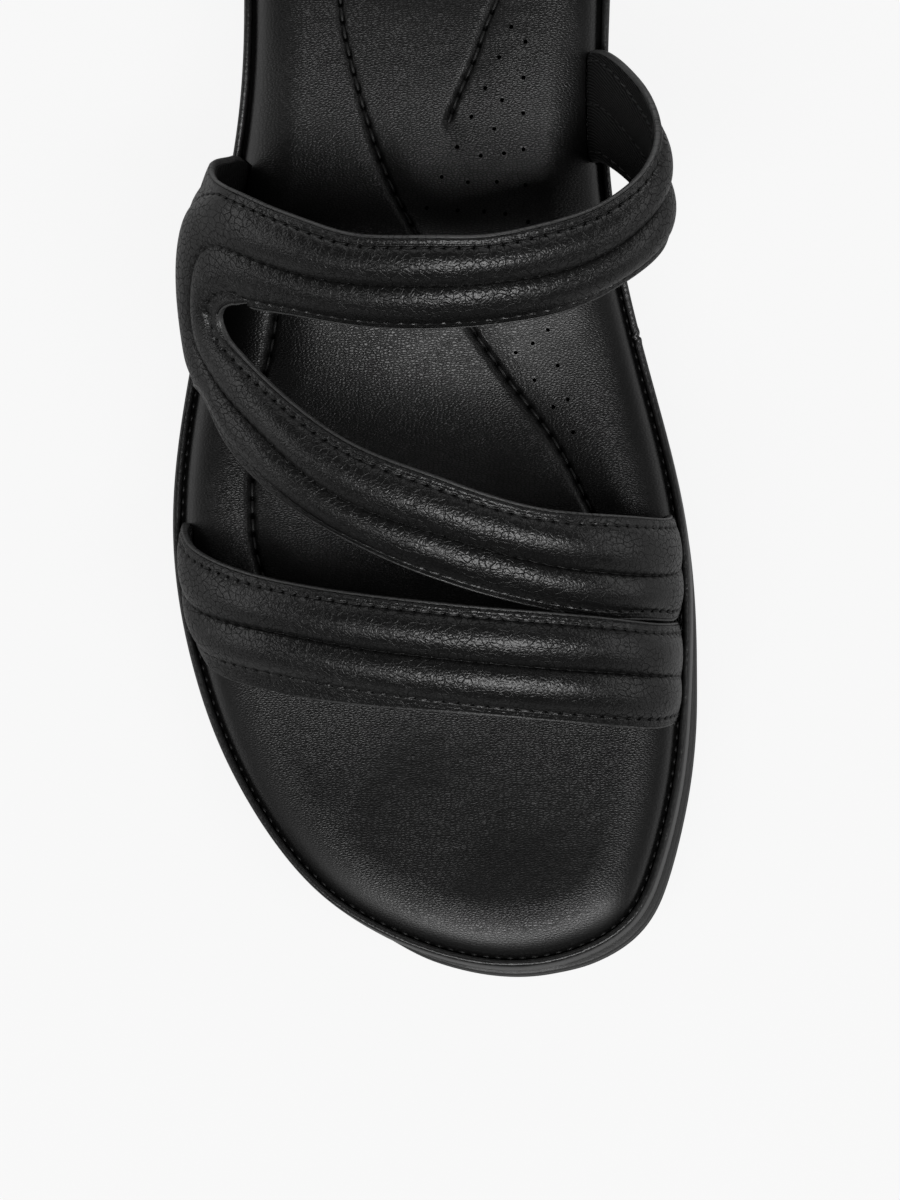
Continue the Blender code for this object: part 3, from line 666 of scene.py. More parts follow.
# both straps: a flat margin, two padded channels and a wing or a second margin, mm
strapShape = {
    "spacing": 0.36, "samples": 60, "hemSteps": 10, "smooth": 3.0, "softFrom": (9.0, 8.0), "tuck": 7.2,
    "wall": 1.8, "seamLevel": 2.2, "marginLevel": 2.0, "marginReach": 0.9, "padPower": 0.62,
    "underside": 0.35, "slot": (45.3, 63.0), "slotCorner": 8.0, "seamNear": 0.1,
    "leastDrop": 0.3, "leastWing": 2.0, "sewnGirth": (80.0, 18.0), "wingLower": (0.4, 0.6),
    "bend": 18.0, "leanReach": 12.0, "lip": 0.16, "lipPlace": 0.45, "lipWidth": 0.20,
    "threadClear": 0.5, "threadUnder": 0.02,
    "holeDepth": 0.46, "holeReach": 0.46, "holeWidth": 0.28, "holeShare": (1.0, 0.45, 1.0),
    "pucker": 0.14, "puckerReach": 1.0,
    "padSteps": 19, "rimSteps": (8, 0.7), "wingSteps": (15, 1.4), "underSteps": 10,  # points, crowding
    "liningBack": 0.5, "liningSwell": 0.8, "liningDraw": 0.3, "liningReach": 1.0, "liningInset": 0.75,
    "liningFade": 8.0, "liningSteps": (49, 5), "liningSkip": 2, "liningSharp": 60,
    # the edge from the margin round to the lining: step in, share of the way down, painted or not
    "edge": (
        (0.80, 0.00, 0), (0.64, 0.02, 0), (0.54, 0.09, 0), (0.48, 0.27, 0), (0.42, 0.29, 0), (0.36, 0.17, 1),
        (0.22, 0.14, 1), (0.06, 0.22, 1), (0.00, 0.42, 1), (0.00, 0.70, 1), (0.08, 0.88, 1), (0.45, 1.00, 1),
    ),
}
strapStitch = {"pitch": 2.75, "length": 2.1, "thread": 0.22, "arch": 0.22, "slant": 6.0, "sunk": 0.06}

tucked = 100.0 + strapShape["tuck"]
# inner edge, middle seam and outer edge as girth and station, then in mm the rise of the pads over the seam,
# the lift off the last and the widths of outer channel and inner margin; last the tilt to the toe in degrees
instepRows = (
    ((tucked, 60.9), (tucked, 65.3), (tucked, 69.3), 0.2, 0.0, 8.4, 2.0, 0.0),
    ((100.0, 60.9), (100.0, 65.3), (100.0, 69.3), 0.3, 0.0, 8.4, 2.0, 0.0),
    ((85.0, 57.0), (85.0, 60.9), (85.0, 65.7), 1.1, 1.3, 8.4, 2.0, 4.0),
    ((71.0, 53.8), (71.0, 57.4), (71.0, 61.2), 1.5, 1.6, 8.4, 2.0, 8.0),
    ((54.0, 50.9), (55.0, 54.05), (56.0, 57.2), 1.8, 1.5, 8.4, 2.0, 14.0),
    ((36.0, 48.1), (36.0, 50.9), (37.0, 54.1), 2.0, 1.0, 8.4, 2.0, 18.0),
    ((8.0, 46.8), (8.0, 49.6), (8.0, 52.5), 2.1, 0.8, 8.4, 2.0, 20.0),
    ((-22.0, 46.85), (-22.0, 49.75), (-22.0, 52.75), 2.1, 0.9, 8.4, 2.0, 19.0),
    ((-42.0, 48.2), (-42.0, 51.3), (-43.0, 55.1), 1.8, 1.3, 8.4, 2.0, 13.0),
    ((-53.0, 49.0), (-56.5, 53.3), (-60.0, 57.75), 1.4, 2.0, 9.4, 2.4, 5.0),
    ((-56.5, 49.2), (-60.5, 53.6), (-79.0, 58.9), 1.3, 2.1, 10.4, 2.7, 1.0),
    ((-59.0, 49.2), (-64.5, 53.0), (-100.0, 63.0), 1.3, 2.2, 11.0, 3.0, 0.0),
    ((-62.4, 48.5), (-70.5, 50.3), (-100.0, 53.3), 1.3, 2.2, 9.0, 3.0, 0.0),
    ((-61.5, 46.8), (-74.0, 46.9), (-100.0, 45.3), 1.3, 2.0, 8.4, 2.6, 0.0),
    ((-57.6, 45.15), (-67.5, 43.9), (-77.0, 43.4), 1.4, 1.3, 8.4, 2.2, -4.0),
    ((-45.0, 41.75), (-53.2, 40.2), (-62.3, 38.9), 1.8, 0.8, 8.4, 2.0, -11.0),
    ((-27.0, 37.7), (-34.0, 35.0), (-43.0, 34.0), 2.0, 0.6, 8.4, 2.0, -17.0),
    ((-2.0, 34.7), (-7.0, 31.4), (-12.0, 28.6), 2.1, 0.5, 8.4, 2.0, -20.0),
    ((25.0, 32.9), (23.5, 29.25), (22.0, 26.2), 2.1, 0.5, 8.4, 2.0, -19.0),
    ((50.0, 32.8), (48.0, 28.7), (48.0, 25.5), 1.9, 0.6, 8.4, 2.0, -13.0),
    ((80.0, 33.2), (78.0, 29.0), (78.0, 25.55), 1.1, 0.5, 8.4, 2.0, -5.0),
    ((100.0, 34.1), (100.0, 30.1), (100.0, 26.4), 0.35, 0.0, 8.4, 2.0, 0.0),
    ((tucked, 34.1), (tucked, 30.1), (tucked, 26.4), 0.2, 0.0, 8.4, 2.0, 0.0),
)
toeRows = tuple(
    ((girth, rear), (girth, seam), (girth, front), rise, lift, 8.4, 2.0, tilt)
    for girth, rear, seam, front, rise, lift, tilt in (
        (-tucked, 33.9, 29.5, 25.1, 0.2, 0.0, 0.0), (-100.0, 33.9, 29.5, 25.1, 0.35, 0.0, 0.0),
        (-80.0, 31.6, 27.05, 22.3, 1.3, 0.5, -3.0), (-50.0, 28.5, 24.7, 20.0, 2.0, 0.4, -7.0),
        (-25.0, 26.85, 23.0, 18.9, 2.2, 0.4, -10.0), (0.0, 25.9, 22.05, 18.25, 2.2, 0.4, -10.0),
        (30.0, 25.4, 21.5, 17.7, 2.2, 0.4, -10.0), (65.0, 25.15, 21.3, 17.4, 1.6, 0.5, -6.0),
        (100.0, 25.9, 21.8, 18.2, 0.35, 0.0, 0.0), (tucked, 25.9, 21.8, 18.2, 0.2, 0.0, 0.0),
    )
)


def softenRidge(points, at):  # smooths the strap along its length, away from its ends
    sigma = strapShape["smooth"] / (at[1] - at[0])
    reach = int(3 * sigma)
    weights = np.exp(-0.5 * (np.arange(-reach, reach + 1) / sigma) ** 2)
    padded = np.pad(points, ((reach, reach), (0, 0), (0, 0)), mode="edge")
    soft = sum(w * padded[i : i + len(at)] for i, w in enumerate(weights / weights.sum()))
    start, width = strapShape["softFrom"]
    free = ease((np.minimum(at, at[-1] - at) - start) / width)[:, None, None]
    return points + (soft - points) * free


def spansAcross(points, middle):  # distance of each point from the middle seam, across the strap
    total = np.cumsum(np.linalg.norm(np.diff(points, axis=1), axis=2), axis=1)
    total = np.concatenate([np.zeros((len(points), 1)), total], axis=1)
    return total - total[:, middle : middle + 1]


def strapBase(rows, curves):
    # the strap's cut laid on the last: points and outward directions over stations and distances across
    size = strapShape
    lines = np.array([row[:3] for row in rows])
    sizes = np.array([row[3:] for row in rows])
    knots = pathLength(lastPoint(lines[:, 1, 0], lines[:, 1, 1]))
    at = np.linspace(0.0, knots[-1], round(knots[-1] / size["spacing"]) + 1)
    inner, seam, outer = (
        (np.clip(curve(knots, lines[:, g, 0], at), -tucked, tucked), curve(knots, lines[:, g, 1], at))
        for g, curve in enumerate(curves)
    )
    rise, lift, channel, margin, tilt = (monotone(knots, sizes[:, column], at) for column in range(5))
    start, end = size["slot"]
    corner = np.minimum(outer[1] - start, end - outer[1]) * shoe["length"] / 100.0
    onSeam = np.abs(outer[0] + 100.0) < size["seamNear"]
    drop = size["tuck"] * np.clip(corner / size["slotCorner"], 0.0, 1.0) * onSeam
    goesDown = drop > size["leastDrop"]

    def between(guide, share):
        girth, along = (seam[k][:, None] + (guide[k] - seam[k])[:, None] * share for k in (0, 1))
        return lastPoint(girth, along)

    half = size["samples"]
    shares = np.linspace(0.0, 1.0, half + 1)[None, :]
    left, right = between(inner, shares[:, ::-1]), between(outer, shares)[:, 1:]
    steps = np.linspace(0.0, 1.0, size["hemSteps"] + 1)[None, 1:]
    hem = lastPoint(outer[0][:, None] - drop[:, None] * steps, outer[1][:, None] + 0 * steps)
    onward = (right[:, -1] - right[:, -2])[:, None, :] * (steps[:, :, None] * 2.0)
    hem = np.where(goesDown[:, None, None], hem, right[:, -1][:, None, :] + onward)
    points = softenRidge(np.concatenate([left, right, hem], axis=1), at)
    # the strap leans to the toe, its front pad more than its rear one
    lean = np.tan(np.radians(tilt))[:, None]
    reach = np.clip(spansAcross(points, half), -size["leanReach"], size["leanReach"])
    points[:, :, 2] += lean * reach - np.abs(lean) * reach**2 / size["bend"]
    outward = np.cross(np.gradient(points, axis=0), np.gradient(points, axis=1))
    outward /= np.linalg.norm(outward, axis=2, keepdims=True)
    if outward[:, half, 2].mean() < 0:
        outward = -outward
    across = spansAcross(points, half)
    girth, width = size["sewnGirth"]
    return SimpleNamespace(
        at=at, fromEnd=np.minimum(at, at[-1] - at), points=points, outward=outward, across=across,
        rise=rise, lift=lift, channel=channel, margin=margin, sewn=ease((-outer[0] - girth) / width),
        inWidth=-across[:, 0], outWidth=across[:, 2 * half] + np.where(goesDown, drop, 0.0),
    )


def onStrap(strap, distance, height):  # points at signed distances from the middle seam, raised off the last
    points, outward = np.empty(distance.shape + (3,)), np.empty(distance.shape + (3,))
    for i in range(len(distance)):
        for axis in range(3):
            points[i, :, axis] = np.interp(distance[i], strap.across[i], strap.points[i, :, axis])
            outward[i, :, axis] = np.interp(distance[i], strap.across[i], strap.outward[i, :, axis])
    outward /= np.linalg.norm(outward, axis=2, keepdims=True)
    # a wing sewn into the sole comes down to the last at its seam
    start, width = strapShape["wingLower"]
    lower = ease((distance / strap.outWidth[:, None] - start) / width) * strap.sewn[:, None]
    return points + outward * (height + strap.lift[:, None] * (1 - lower))[:, :, None], outward


def sewStrap(strap):
    # two pads, three sewn lines with the threads lying in them, and where their needle holes fall
    size = strapShape
    strap.inPad = strap.inWidth - strap.margin
    strap.outPad = np.minimum(strap.channel, strap.outWidth - size["leastWing"])
    strap.lines = np.stack([-strap.inPad, 0 * strap.inPad, strap.outPad], axis=1)
    levels = [size["marginLevel"], size["seamLevel"], size["marginLevel"]]
    levels = np.tile(levels, (len(strap.at), 1)) - strapStitch["sunk"]
    strap.threads, strap.threadOut = onStrap(strap, strap.lines, levels)
    shown = np.flatnonzero(strap.fromEnd > size["tuck"] + size["threadClear"])
    strap.span = slice(shown[0], shown[-1] + 1)
    strap.holes = np.zeros(strap.lines.shape)
    for k in range(3):
        run = pathLength(strap.threads[strap.span, k])
        strap.holes[strap.span, k] = needleHoles(run, strapStitch["pitch"], size["holeReach"])


def nearLine(strap, k, distance, reach):  # 1 on a sewn line, fading over this reach
    return np.exp(-(((distance - strap.lines[:, k : k + 1]) / reach) ** 2))


def padUnder(strap, distance):
    return np.where(distance < 0, strap.inPad[:, None], strap.outPad[:, None])


def swellAt(strap, distance):
    share = np.clip(np.abs(distance) / padUnder(strap, distance), 0.0, 1.0)
    return np.sin(math.pi * share) ** strapShape["padPower"]


def topHeight(strap, distance, creases):
    size = strapShape
    x, pad = np.abs(distance), padUnder(strap, distance)
    floor = size["seamLevel"] + (size["marginLevel"] - size["seamLevel"]) * np.clip(x / pad, 0.0, 1.0)
    padded = floor + strap.rise[:, None] * swellAt(strap, distance)
    past = np.clip(x - pad, 0.0, None)
    thinner = (size["wall"] - size["marginLevel"]) * (1 - np.exp(-past / size["marginReach"]))
    lip = size["lip"] * np.exp(-(((past - size["lipPlace"]) / size["lipWidth"]) ** 2))
    height = np.where(x <= pad, padded, size["marginLevel"] + thinner + lip)
    for k in range(3):
        narrow = size["holeShare"][k] * size["holeDepth"] * nearLine(strap, k, distance, size["holeWidth"])
        wide = size["pucker"] * nearLine(strap, k, distance, size["puckerReach"])
        height = height - (narrow + wide) * strap.holes[:, k : k + 1]
    return height - creaseDepth(creases, strap.at[:, None], distance)


# small wrinkles across the pads where a strap bends down to its seam, mm and degrees
creaseShape = {
    "count": 12, "start": 3.0, "spread": 16.0, "middles": (-4.3, 4.3), "sway": 2.2, "turn": 22.0,
    "length": (1.2, 3.2), "width": (0.22, 0.36), "depth": (0.03, 0.08), "ridge": 0.45, "ridgePlace": 1.9,
}


def endCreases(seed, length):
    draw, size = np.random.default_rng(seed), creaseShape
    made = []
    for end in (0, 1):
        for middle in size["middles"]:
            for i in range(size["count"]):
                along = strapShape["tuck"] + size["start"] + draw.uniform(0.0, size["spread"])
                made.append((
                    along if end == 0 else length - along, middle + draw.uniform(-size["sway"], size["sway"]),
                    90.0 + draw.uniform(-size["turn"], size["turn"]), draw.uniform(*size["length"]),
                    draw.uniform(*size["width"]), draw.uniform(*size["depth"]),
                ))
    return made


def creaseDepth(creases, at, distance):
    # soft troughs with a low ridge on each side: place along, place across, turn, length, width, depth
    total = np.zeros_like(distance)
    for along, across, turn, length, width, depth in creases:
        c, s = math.cos(math.radians(turn)), math.sin(math.radians(turn))
        far = (at - along) * c + (distance - across) * s
        off = -(at - along) * s + (distance - across) * c
        fade = np.exp(-((2.0 * far / length) ** 4))
        ridge = np.exp(-(((np.abs(off) - creaseShape["ridgePlace"] * width) / width) ** 2))
        total += depth * fade * (np.exp(-((off / width) ** 2)) - creaseShape["ridge"] * ridge)
    return total


def addCut(piece, along, across):  # flat pattern of the strap as a UV map, in metres
    flat = np.stack([along, across], axis=1) * mm
    corner = np.empty(len(piece.data.loops), np.int32)
    piece.data.loops.foreach_get("vertex_index", corner)
    piece.data.uv_layers.new(name="cut").data.foreach_set("uv", flat[corner].astype(np.float32).ravel())


def strapTop(strap, stepIn):  # distances across the top, from the inner edge to the outer one
    size = strapShape
    inPad, outPad = strap.inPad[:, None], strap.outPad[:, None]
    padSteps = 0.5 - 0.5 * np.cos(np.pi * np.linspace(0.0, 1.0, size["padSteps"]))
    rimSteps, wingSteps = (
        np.linspace(0.0, 1.0, count) ** crowding for count, crowding in (size["rimSteps"], size["wingSteps"])
    )
    return np.concatenate([
        -inPad - (strap.inWidth - stepIn - strap.inPad)[:, None] * rimSteps[None, :0:-1],
        -inPad * (1 - padSteps[None, :-1]),
        outPad * padSteps[None, :-1],
        outPad + (strap.outWidth - stepIn - strap.outPad)[:, None] * wingSteps[None, :-1],
    ], axis=1)


def strapLeatherPiece(strap, name, creases):
    # ring of points round the strap: top, outer edge, underside, inner edge
    size, count = strapShape, len(strap.at)
    edgeIn, edgeDown, edgePaint = np.array(size["edge"]).T
    edgeDown = edgeDown * (size["wall"] - size["underside"])
    top = strapTop(strap, edgeIn[0])
    outEdge = strap.outWidth[:, None] - edgeIn[None, :]
    inEdge = edgeIn[None, ::-1] - strap.inWidth[:, None]
    below = np.linspace(1.0, 0.0, size["underSteps"])[None, 1:-1]
    lower = inEdge[:, :1] + (outEdge[:, -1:] - inEdge[:, :1]) * below
    distance = np.concatenate([top, outEdge, lower, inEdge], axis=1)
    height = np.concatenate([
        topHeight(strap, top, creases), np.tile(size["wall"] - edgeDown, (count, 1)),
        np.full(lower.shape, size["underside"]), np.tile(size["wall"] - edgeDown[::-1], (count, 1)),
    ], axis=1)
    points = onStrap(strap, distance, height)[0]
    columns = distance.shape[1]
    piece = meshPiece(name, points.reshape(-1, 3), tubeFaces(count, columns), strapSkin)
    addCut(piece, np.repeat(strap.at, columns), distance.ravel())
    # painted edges, and the needle holes that the leather's shader darkens with painted shade
    paint, needle = np.zeros((count, columns)), np.zeros((count, columns))
    paint[:, top.shape[1] : top.shape[1] + len(edgePaint)] = edgePaint
    paint[:, -len(edgePaint) :] = edgePaint[::-1]
    needle[:, : top.shape[1]] = sum(
        size["holeShare"][k] * strap.holes[:, k : k + 1] * nearLine(strap, k, top, size["holeWidth"])
        for k in range(3)
    )
    storeValues(piece.data, "edgePaint", paint.ravel())
    storeValues(piece.data, "needle", needle.ravel())
    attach(piece, "root")
    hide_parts(name.replace("_leather", ""))
    print(name, "rows", count, "columns", columns)


def strapLining(strap, name):  # twill, a thin closed sheet drawn up to the leather along the sewn lines
    size, gap, at = strapShape, strapShape["liningInset"], strap.at
    width = strap.outWidth + strap.inWidth - 2 * gap
    faceSteps, backSteps = (np.linspace(0.0, 1.0, count)[None, :] for count in size["liningSteps"])
    face = -(strap.inWidth - gap)[:, None] + width[:, None] * faceSteps
    back = face[:, -1:] + (face[:, :1] - face[:, -1:]) * backSteps
    free = ease((strap.fromEnd - size["tuck"]) / size["liningFade"])[:, None]
    inside = -size["liningSwell"] * swellAt(strap, face) * free
    for k in range(3):
        drawn = strap.holes[:, k : k + 1] * nearLine(strap, k, face, size["liningReach"])
        inside = inside + size["liningDraw"] * drawn
    sheet = np.concatenate([face, back], axis=1)
    level = np.concatenate([inside, np.full(back.shape, size["liningBack"])], axis=1)
    every = slice(None, None, size["liningSkip"])
    points = onStrap(strap, sheet, level)[0][every]
    faces = tubeFaces(*points.shape[:2])
    title = name.replace("leather", "lining")
    lining = meshPiece(title, points.reshape(-1, 3), faces, liningSkin, size["liningSharp"])
    addCut(lining, np.repeat(at[every], sheet.shape[1]), sheet[every].ravel())
    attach(lining, "root")
    area = float(np.sum((width[1:] + width[:-1]) / 2 * np.diff(at)))


def makeStrap(name, rows, curves, seed):
    strap = strapBase(rows, curves)
    sewStrap(strap)
    strapLeatherPiece(strap, name, endCreases(seed, strap.at[-1]))
    strapLining(strap, name)
    under, underOut = onStrap(strap, strap.lines, np.full(strap.lines.shape, -strapShape["threadUnder"]))
    paths = [(strap.threads[strap.span, k], strap.threadOut[strap.span, k]) for k in range(3)]
    paths += [(under[strap.span, k], -underOut[strap.span, k]) for k in range(3)]
    stitchRun(name.replace("leather", "stitches"), paths, strapStitch, strapThread)


makeStrap("instep_strap_leather", instepRows, (natural, natural, monotone), 3)
makeStrap("toe_strap_leather", toeRows, (monotone, monotone, monotone), 8)
print("straps made")


# sole rings and caps
def ringIndices(stations, extra=()):
    turns = 0.5 + 0.5 * np.cos(np.pi * np.arange(stations + 1) / stations)
    levels = rim[rimToe, 1] + (rim[0, 1] - rim[rimToe, 1]) * turns
    levels = np.array(sorted({*levels.tolist(), *extra}, reverse=True))
    lateral = [int(np.abs(rim[: rimToe + 1, 1] - level).argmin()) for level in levels]
    medial = [rimToe + int(np.abs(rim[rimToe:, 1] - level).argmin()) for level in levels]
    lateral[0], lateral[-1] = 0, rimToe
    return lateral + medial[-2:0:-1]


def ringAt(distance, height, indices):
    flat = inset(distance)[indices]
    return np.column_stack([flat, height(flat[:, 1])])


def belowRim(depth):
    return lambda y: rimHeight(y) - depth


def loftPoints(rings, columns):
    # rings joined from the underside outwards, up and in over the top, with rungs across both ends
    size = len(rings[0])
    points = [point for ring in rings for point in ring]
    faces = []
    for level in range(len(rings) - 1):
        for i in range(size):
            j = (i + 1) % size
            faces.append((level * size + i, level * size + j, (level + 1) * size + j, (level + 1) * size + i))

    def pick(row, k):
        return row[min(k, len(row) - 1)]

    def ladder(start, steps):
        rows, added = [], []
        for j in range(size // 2 + 1):
            a, b = start + j, start + (size - j) % size
            row = [a]
            if a != b:
                for k in range(1, steps):
                    row.append(len(points))
                    points.append(points[a] + (points[b] - points[a]) * (k / steps))
                added += row[1:]
                row.append(b)
            rows.append(row)
        for upper, lower in zip(rows, rows[1:]):
            for k in range(steps):
                corners = (pick(upper, k), pick(lower, k), pick(lower, k + 1), pick(upper, k + 1))
                corners = tuple(dict.fromkeys(corners))
                if len(corners) > 2:
                    faces.append(corners)
        return added

    ladder(0, 2)
    inside = ladder((len(rings) - 1) * size, columns)
    return np.array(points), faces, inside


# wrapped platform with a rolled rim, mm
wrapShape = {
    "stations": 300, "gap": 0.3, "under": (4.0, 0.9), "wall": (0.02, 0.86, 14), "bulge": 0.25,
    "footTuck": 0.5, "tuckShare": 0.03, "rollRadius": 0.68, "rollInset": 0.70, "rollTurn": (165, -55, 15),
    "trayTop": 2.2, "trayDepth": 6.0, "trayInset": 1.6, "sharp": 50,
    "seamPlace": -4.9, "seamReach": (-2.4, 2.4, 21), "seamWidth": 0.32, "seamDepth": 0.35,
    "seamLip": 0.35, "lipPlace": 0.75, "lipWidth": 0.5,
}


def wrapSeam():  # one upright butt seam on the medial waist, with a low lip on each side
    size = wrapShape
    away = rim[:, 1] - size["seamPlace"]
    cut = np.exp(-((away / size["seamWidth"]) ** 2))
    lip = np.exp(-(((np.abs(away) - size["lipPlace"]) / size["lipWidth"]) ** 2))
    return np.where(rimMedial, size["seamDepth"] * (cut - size["seamLip"] * lip), 0.0)


def makeWrap():
    size = wrapShape
    indices = ringIndices(size["stations"], size["seamPlace"] + np.linspace(*size["seamReach"]))
    foot, puff = np.maximum(footInset(), 0.0), wrapSeam()

    def above(y):
        return outsoleTop(y) + size["gap"]

    def side(share):
        return lambda y: above(y) + (rimHeight(y) - above(y)) * share

    rings = [ringAt(foot + step, above, indices) for step in size["under"]]
    for share in np.linspace(*size["wall"]):
        tuck = size["footTuck"] * math.exp(-share / size["tuckShare"])
        swell = size["bulge"] * math.sin(math.pi * share) - tuck
        rings.append(ringAt(foot * (1 - share) - swell + puff, side(share), indices))
    middle, radius = size["rollInset"], size["rollRadius"]
    for angle in np.radians(np.linspace(*size["rollTurn"])):
        level = belowRim(radius - radius * math.sin(angle))
        rings.append(ringAt(middle + radius * math.cos(angle) + puff, level, indices))
    for depth in (size["trayTop"], size["trayDepth"]):
        rings.append(ringAt(size["trayInset"], belowRim(depth), indices))
    points, faces = loftPoints(rings, 2)[:2]
    piece = meshPiece("midsole_wrap_leather", points, faces, wrapSkin, size["sharp"])
    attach(piece, "root")
    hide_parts("midsole_wrap")


makeWrap()
print("wrap made")


# footbed cushion, mm: rolled edge, heel cup, rise under the instep band, hollows under ball and toes,
# and panels that dip to the sewn lines
footbedShape = {
    "stations": 300, "columns": 104, "edgeInset": 1.5, "slotInset": 4.15, "slotRamp": 1.4, "seamDrop": 0.6,
    "crown": 4.2, "roll": 11.0, "lipDrop": 1.0, "lipReach": 1.1, "sharp": 55,
    "trayDepth": 6.0, "gap": 0.3, "wallTop": 2.2, "under": (3.0, 0.3),
    "lipSteps": (0.0, 3.0, 11), "rollStart": 3.6, "rollSteps": 12, "ringStep": 0.02,
    "mounds": (  # rise, place across, station, spread across, forwards and backwards
        (-2.5, 0.0, 86.0, 24.0, 30.0, 30.0),  # heel cup
        (3.2, -4.0, 54.0, 26.0, 20.0, 42.0),  # under the instep band
        (-1.5, -4.0, 41.0, 26.0, 15.0, 15.0),  # ball
        (-1.6, 3.0, 19.0, 30.0, 22.0, 22.0),  # toes
    ),
    "lateralSlots": ((25.1, 33.9), (45.3, 62.0)), "medialSlots": ((18.2, 34.1), (60.9, 69.5)),
    "panelSink": 1.3, "panelReach": (0.8, 5.5), "panelFade": 9.0, "panelHeel": (28.0, 40.0, 0.35),
    "seamSink": 0.34, "seamReach": 0.60, "holeDepth": 0.5, "holeReach": 0.85, "holeWidth": 0.50,
    "sideWidth": 3.0, "fineInward": 4.0, "fineReach": 2.4, "fineCuts": 2, "lineSpacing": 0.3,
    # sewn lines: the long one runs back from the ball, round the heel and forwards again
    "longLine": (
        (30.9, -40.8), (27.6, -34.1), (24.7, -28.4), (20.4, -21.8), (15.4, -15.3), (11.1, -9.4), (7.5, -4.2),
        (2.2, 4.9), (-3.3, 14.4), (-6.8, 20.9), (-9.6, 27.5), (-12.4, 36.0), (-14.6, 44.0), (-16.7, 53.3),
        (-17.6, 62.0), (-18.0, 74.0), (-16.6, 88.0), (-11.4, 101.0), (-1.6, 106.6), (8.6, 101.0),
        (14.6, 88.0), (16.4, 74.0), (14.6, 63.0), (12.4, 57.4), (10.1, 51.7), (8.0, 45.8), (5.8, 40.9),
        (3.5, 35.1),
    ),
    "sideLine": (
        (-27.2, 10.0), (-28.9, 4.0), (-30.3, -1.7), (-31.5, -8.1), (-32.7, -12.5), (-34.2, -23.0),
        (-35.0, -34.0), (-34.9, -39.8), (-34.6, -44.2), (-33.4, -49.2), (-31.6, -54.5),
    ),
    "pinholes": (
        (15.4, 52.7), (18.1, 49.8), (13.1, 46.9), (17.7, 43.0), (10.4, 41.0), (13.6, 38.7), (17.6, 36.2),
        (7.7, 35.6), (12.1, 33.3), (5.0, 29.8), (9.5, 28.2), (13.9, 28.7), (17.6, 29.4), (2.0, 24.2),
        (7.0, 23.2), (12.5, 23.3), (17.9, 22.7), (-0.9, 18.4), (5.0, 17.9), (10.0, 17.7), (14.0, 17.3),
        (18.3, 15.8), (3.0, 12.0), (8.4, 11.7), (13.6, 11.2), (18.8, 10.2), (7.6, 5.8), (12.6, 5.4),
        (17.6, 4.6), (12.2, 0.2), (17.0, -0.9), (21.6, 1.2), (21.8, -4.4), (18.9, -6.9), (15.6, -8.6),
        (23.6, -11.1), (19.1, -13.8), (25.5, -17.6), (22.7, -18.9), (26.5, -23.8),
    ),
    "pinholeRadius": 0.40, "pinholeDepth": 3.2, "slopeStep": 0.5,
}
footbedStitch = {"pitch": 3.4, "length": 2.0, "thread": 0.34, "arch": 0.30, "slant": 0.0, "raise": 0.6}
edgeStitch = {
    "pitch": 2.3, "length": 1.0, "thread": 0.24, "arch": 0.3, "slant": 0.0, "inset": 1.8, "sink": 1.15,
    "ends": (52.0, 45.0),
}


def smoothLine(points):
    points = np.array(points, float)
    knots = pathLength(points)
    at = np.linspace(0.0, knots[-1], round(knots[-1] / footbedShape["lineSpacing"]) + 1)
    return np.stack([natural(knots, points[:, axis], at) for axis in (0, 1)], axis=1)


def lineTree(points):
    tree = kdtree.KDTree(len(points))
    for i, (x, y) in enumerate(points):
        tree.insert((x, y, 0.0), i)
    tree.balance()
    return tree


sewnLines = [smoothLine(footbedShape["longLine"]), smoothLine(footbedShape["sideLine"])]
sewnTrees = [lineTree(line) for line in sewnLines]
sewnHoles = [
    needleHoles(pathLength(line), footbedStitch["pitch"], footbedShape["holeReach"]) for line in sewnLines
]
footbedEdge = lineTree(inset(footbedShape["edgeInset"]))


def edgeDistance(places):
    return np.array([footbedEdge.find((x, y, 0.0))[2] for x, y in places])


def nearSeams(x, y):  # for each sewn line: how far away, how far to its medial side, needle holes
    size = footbedShape
    for line, tree, holes in zip(sewnLines, sewnTrees, sewnHoles):
        near = [tree.find((px, py, 0.0)) for px, py in zip(x, y)]
        away = np.array([hit[2] for hit in near])
        index = np.array([hit[1] for hit in near])
        medial = ease((x - line[index, 0]) / size["sideWidth"] + 0.5)
        yield away, medial, holes[index] * np.exp(-((away / size["holeWidth"]) ** 2))


def footbedTop(x, y, edge):
    # height of the cushion, from its place and its distance to the sewn edge
    size = footbedShape
    inward = np.clip(edge / size["roll"], 0, 1)
    z = rimHeight(y) - size["seamDrop"] + size["crown"] * np.sin(math.pi / 2 * inward)
    for rise, middle, station, across, forwards, backwards in size["mounds"]:
        reach = np.where(y < toY(station), forwards, backwards)
        mound = np.exp(-(((x - middle) / across) ** 2) - ((y - toY(station)) / reach) ** 2)
        z = z + rise * mound * ease(inward)
    z = z - size["lipDrop"] * np.exp(-edge / size["lipReach"])
    # the panels dip to the sewn lines, further on the medial side and less in the heel
    near, far = size["panelReach"]
    start, end, least = size["panelHeel"]
    sink = size["panelSink"] * (1 - (1 - least) * ease((y - start) / (end - start)))
    for away, medial, holes in nearSeams(x, y):
        fade = 1 - ease(away / size["panelFade"])
        z = z - sink * np.exp(-away / (near + (far - near) * medial)) * fade
        z = z - size["seamSink"] * np.exp(-((away / size["seamReach"]) ** 2)) - size["holeDepth"] * holes
    return z


def slotShare(y, slots):  # 1 where a strap goes down beside the footbed
    share, ramp = np.zeros_like(y), footbedShape["slotRamp"]
    for start, end in slots:
        share = np.maximum(share, ease((y - toY(start)) / ramp) * ease((toY(end) - y) / ramp))
    return share


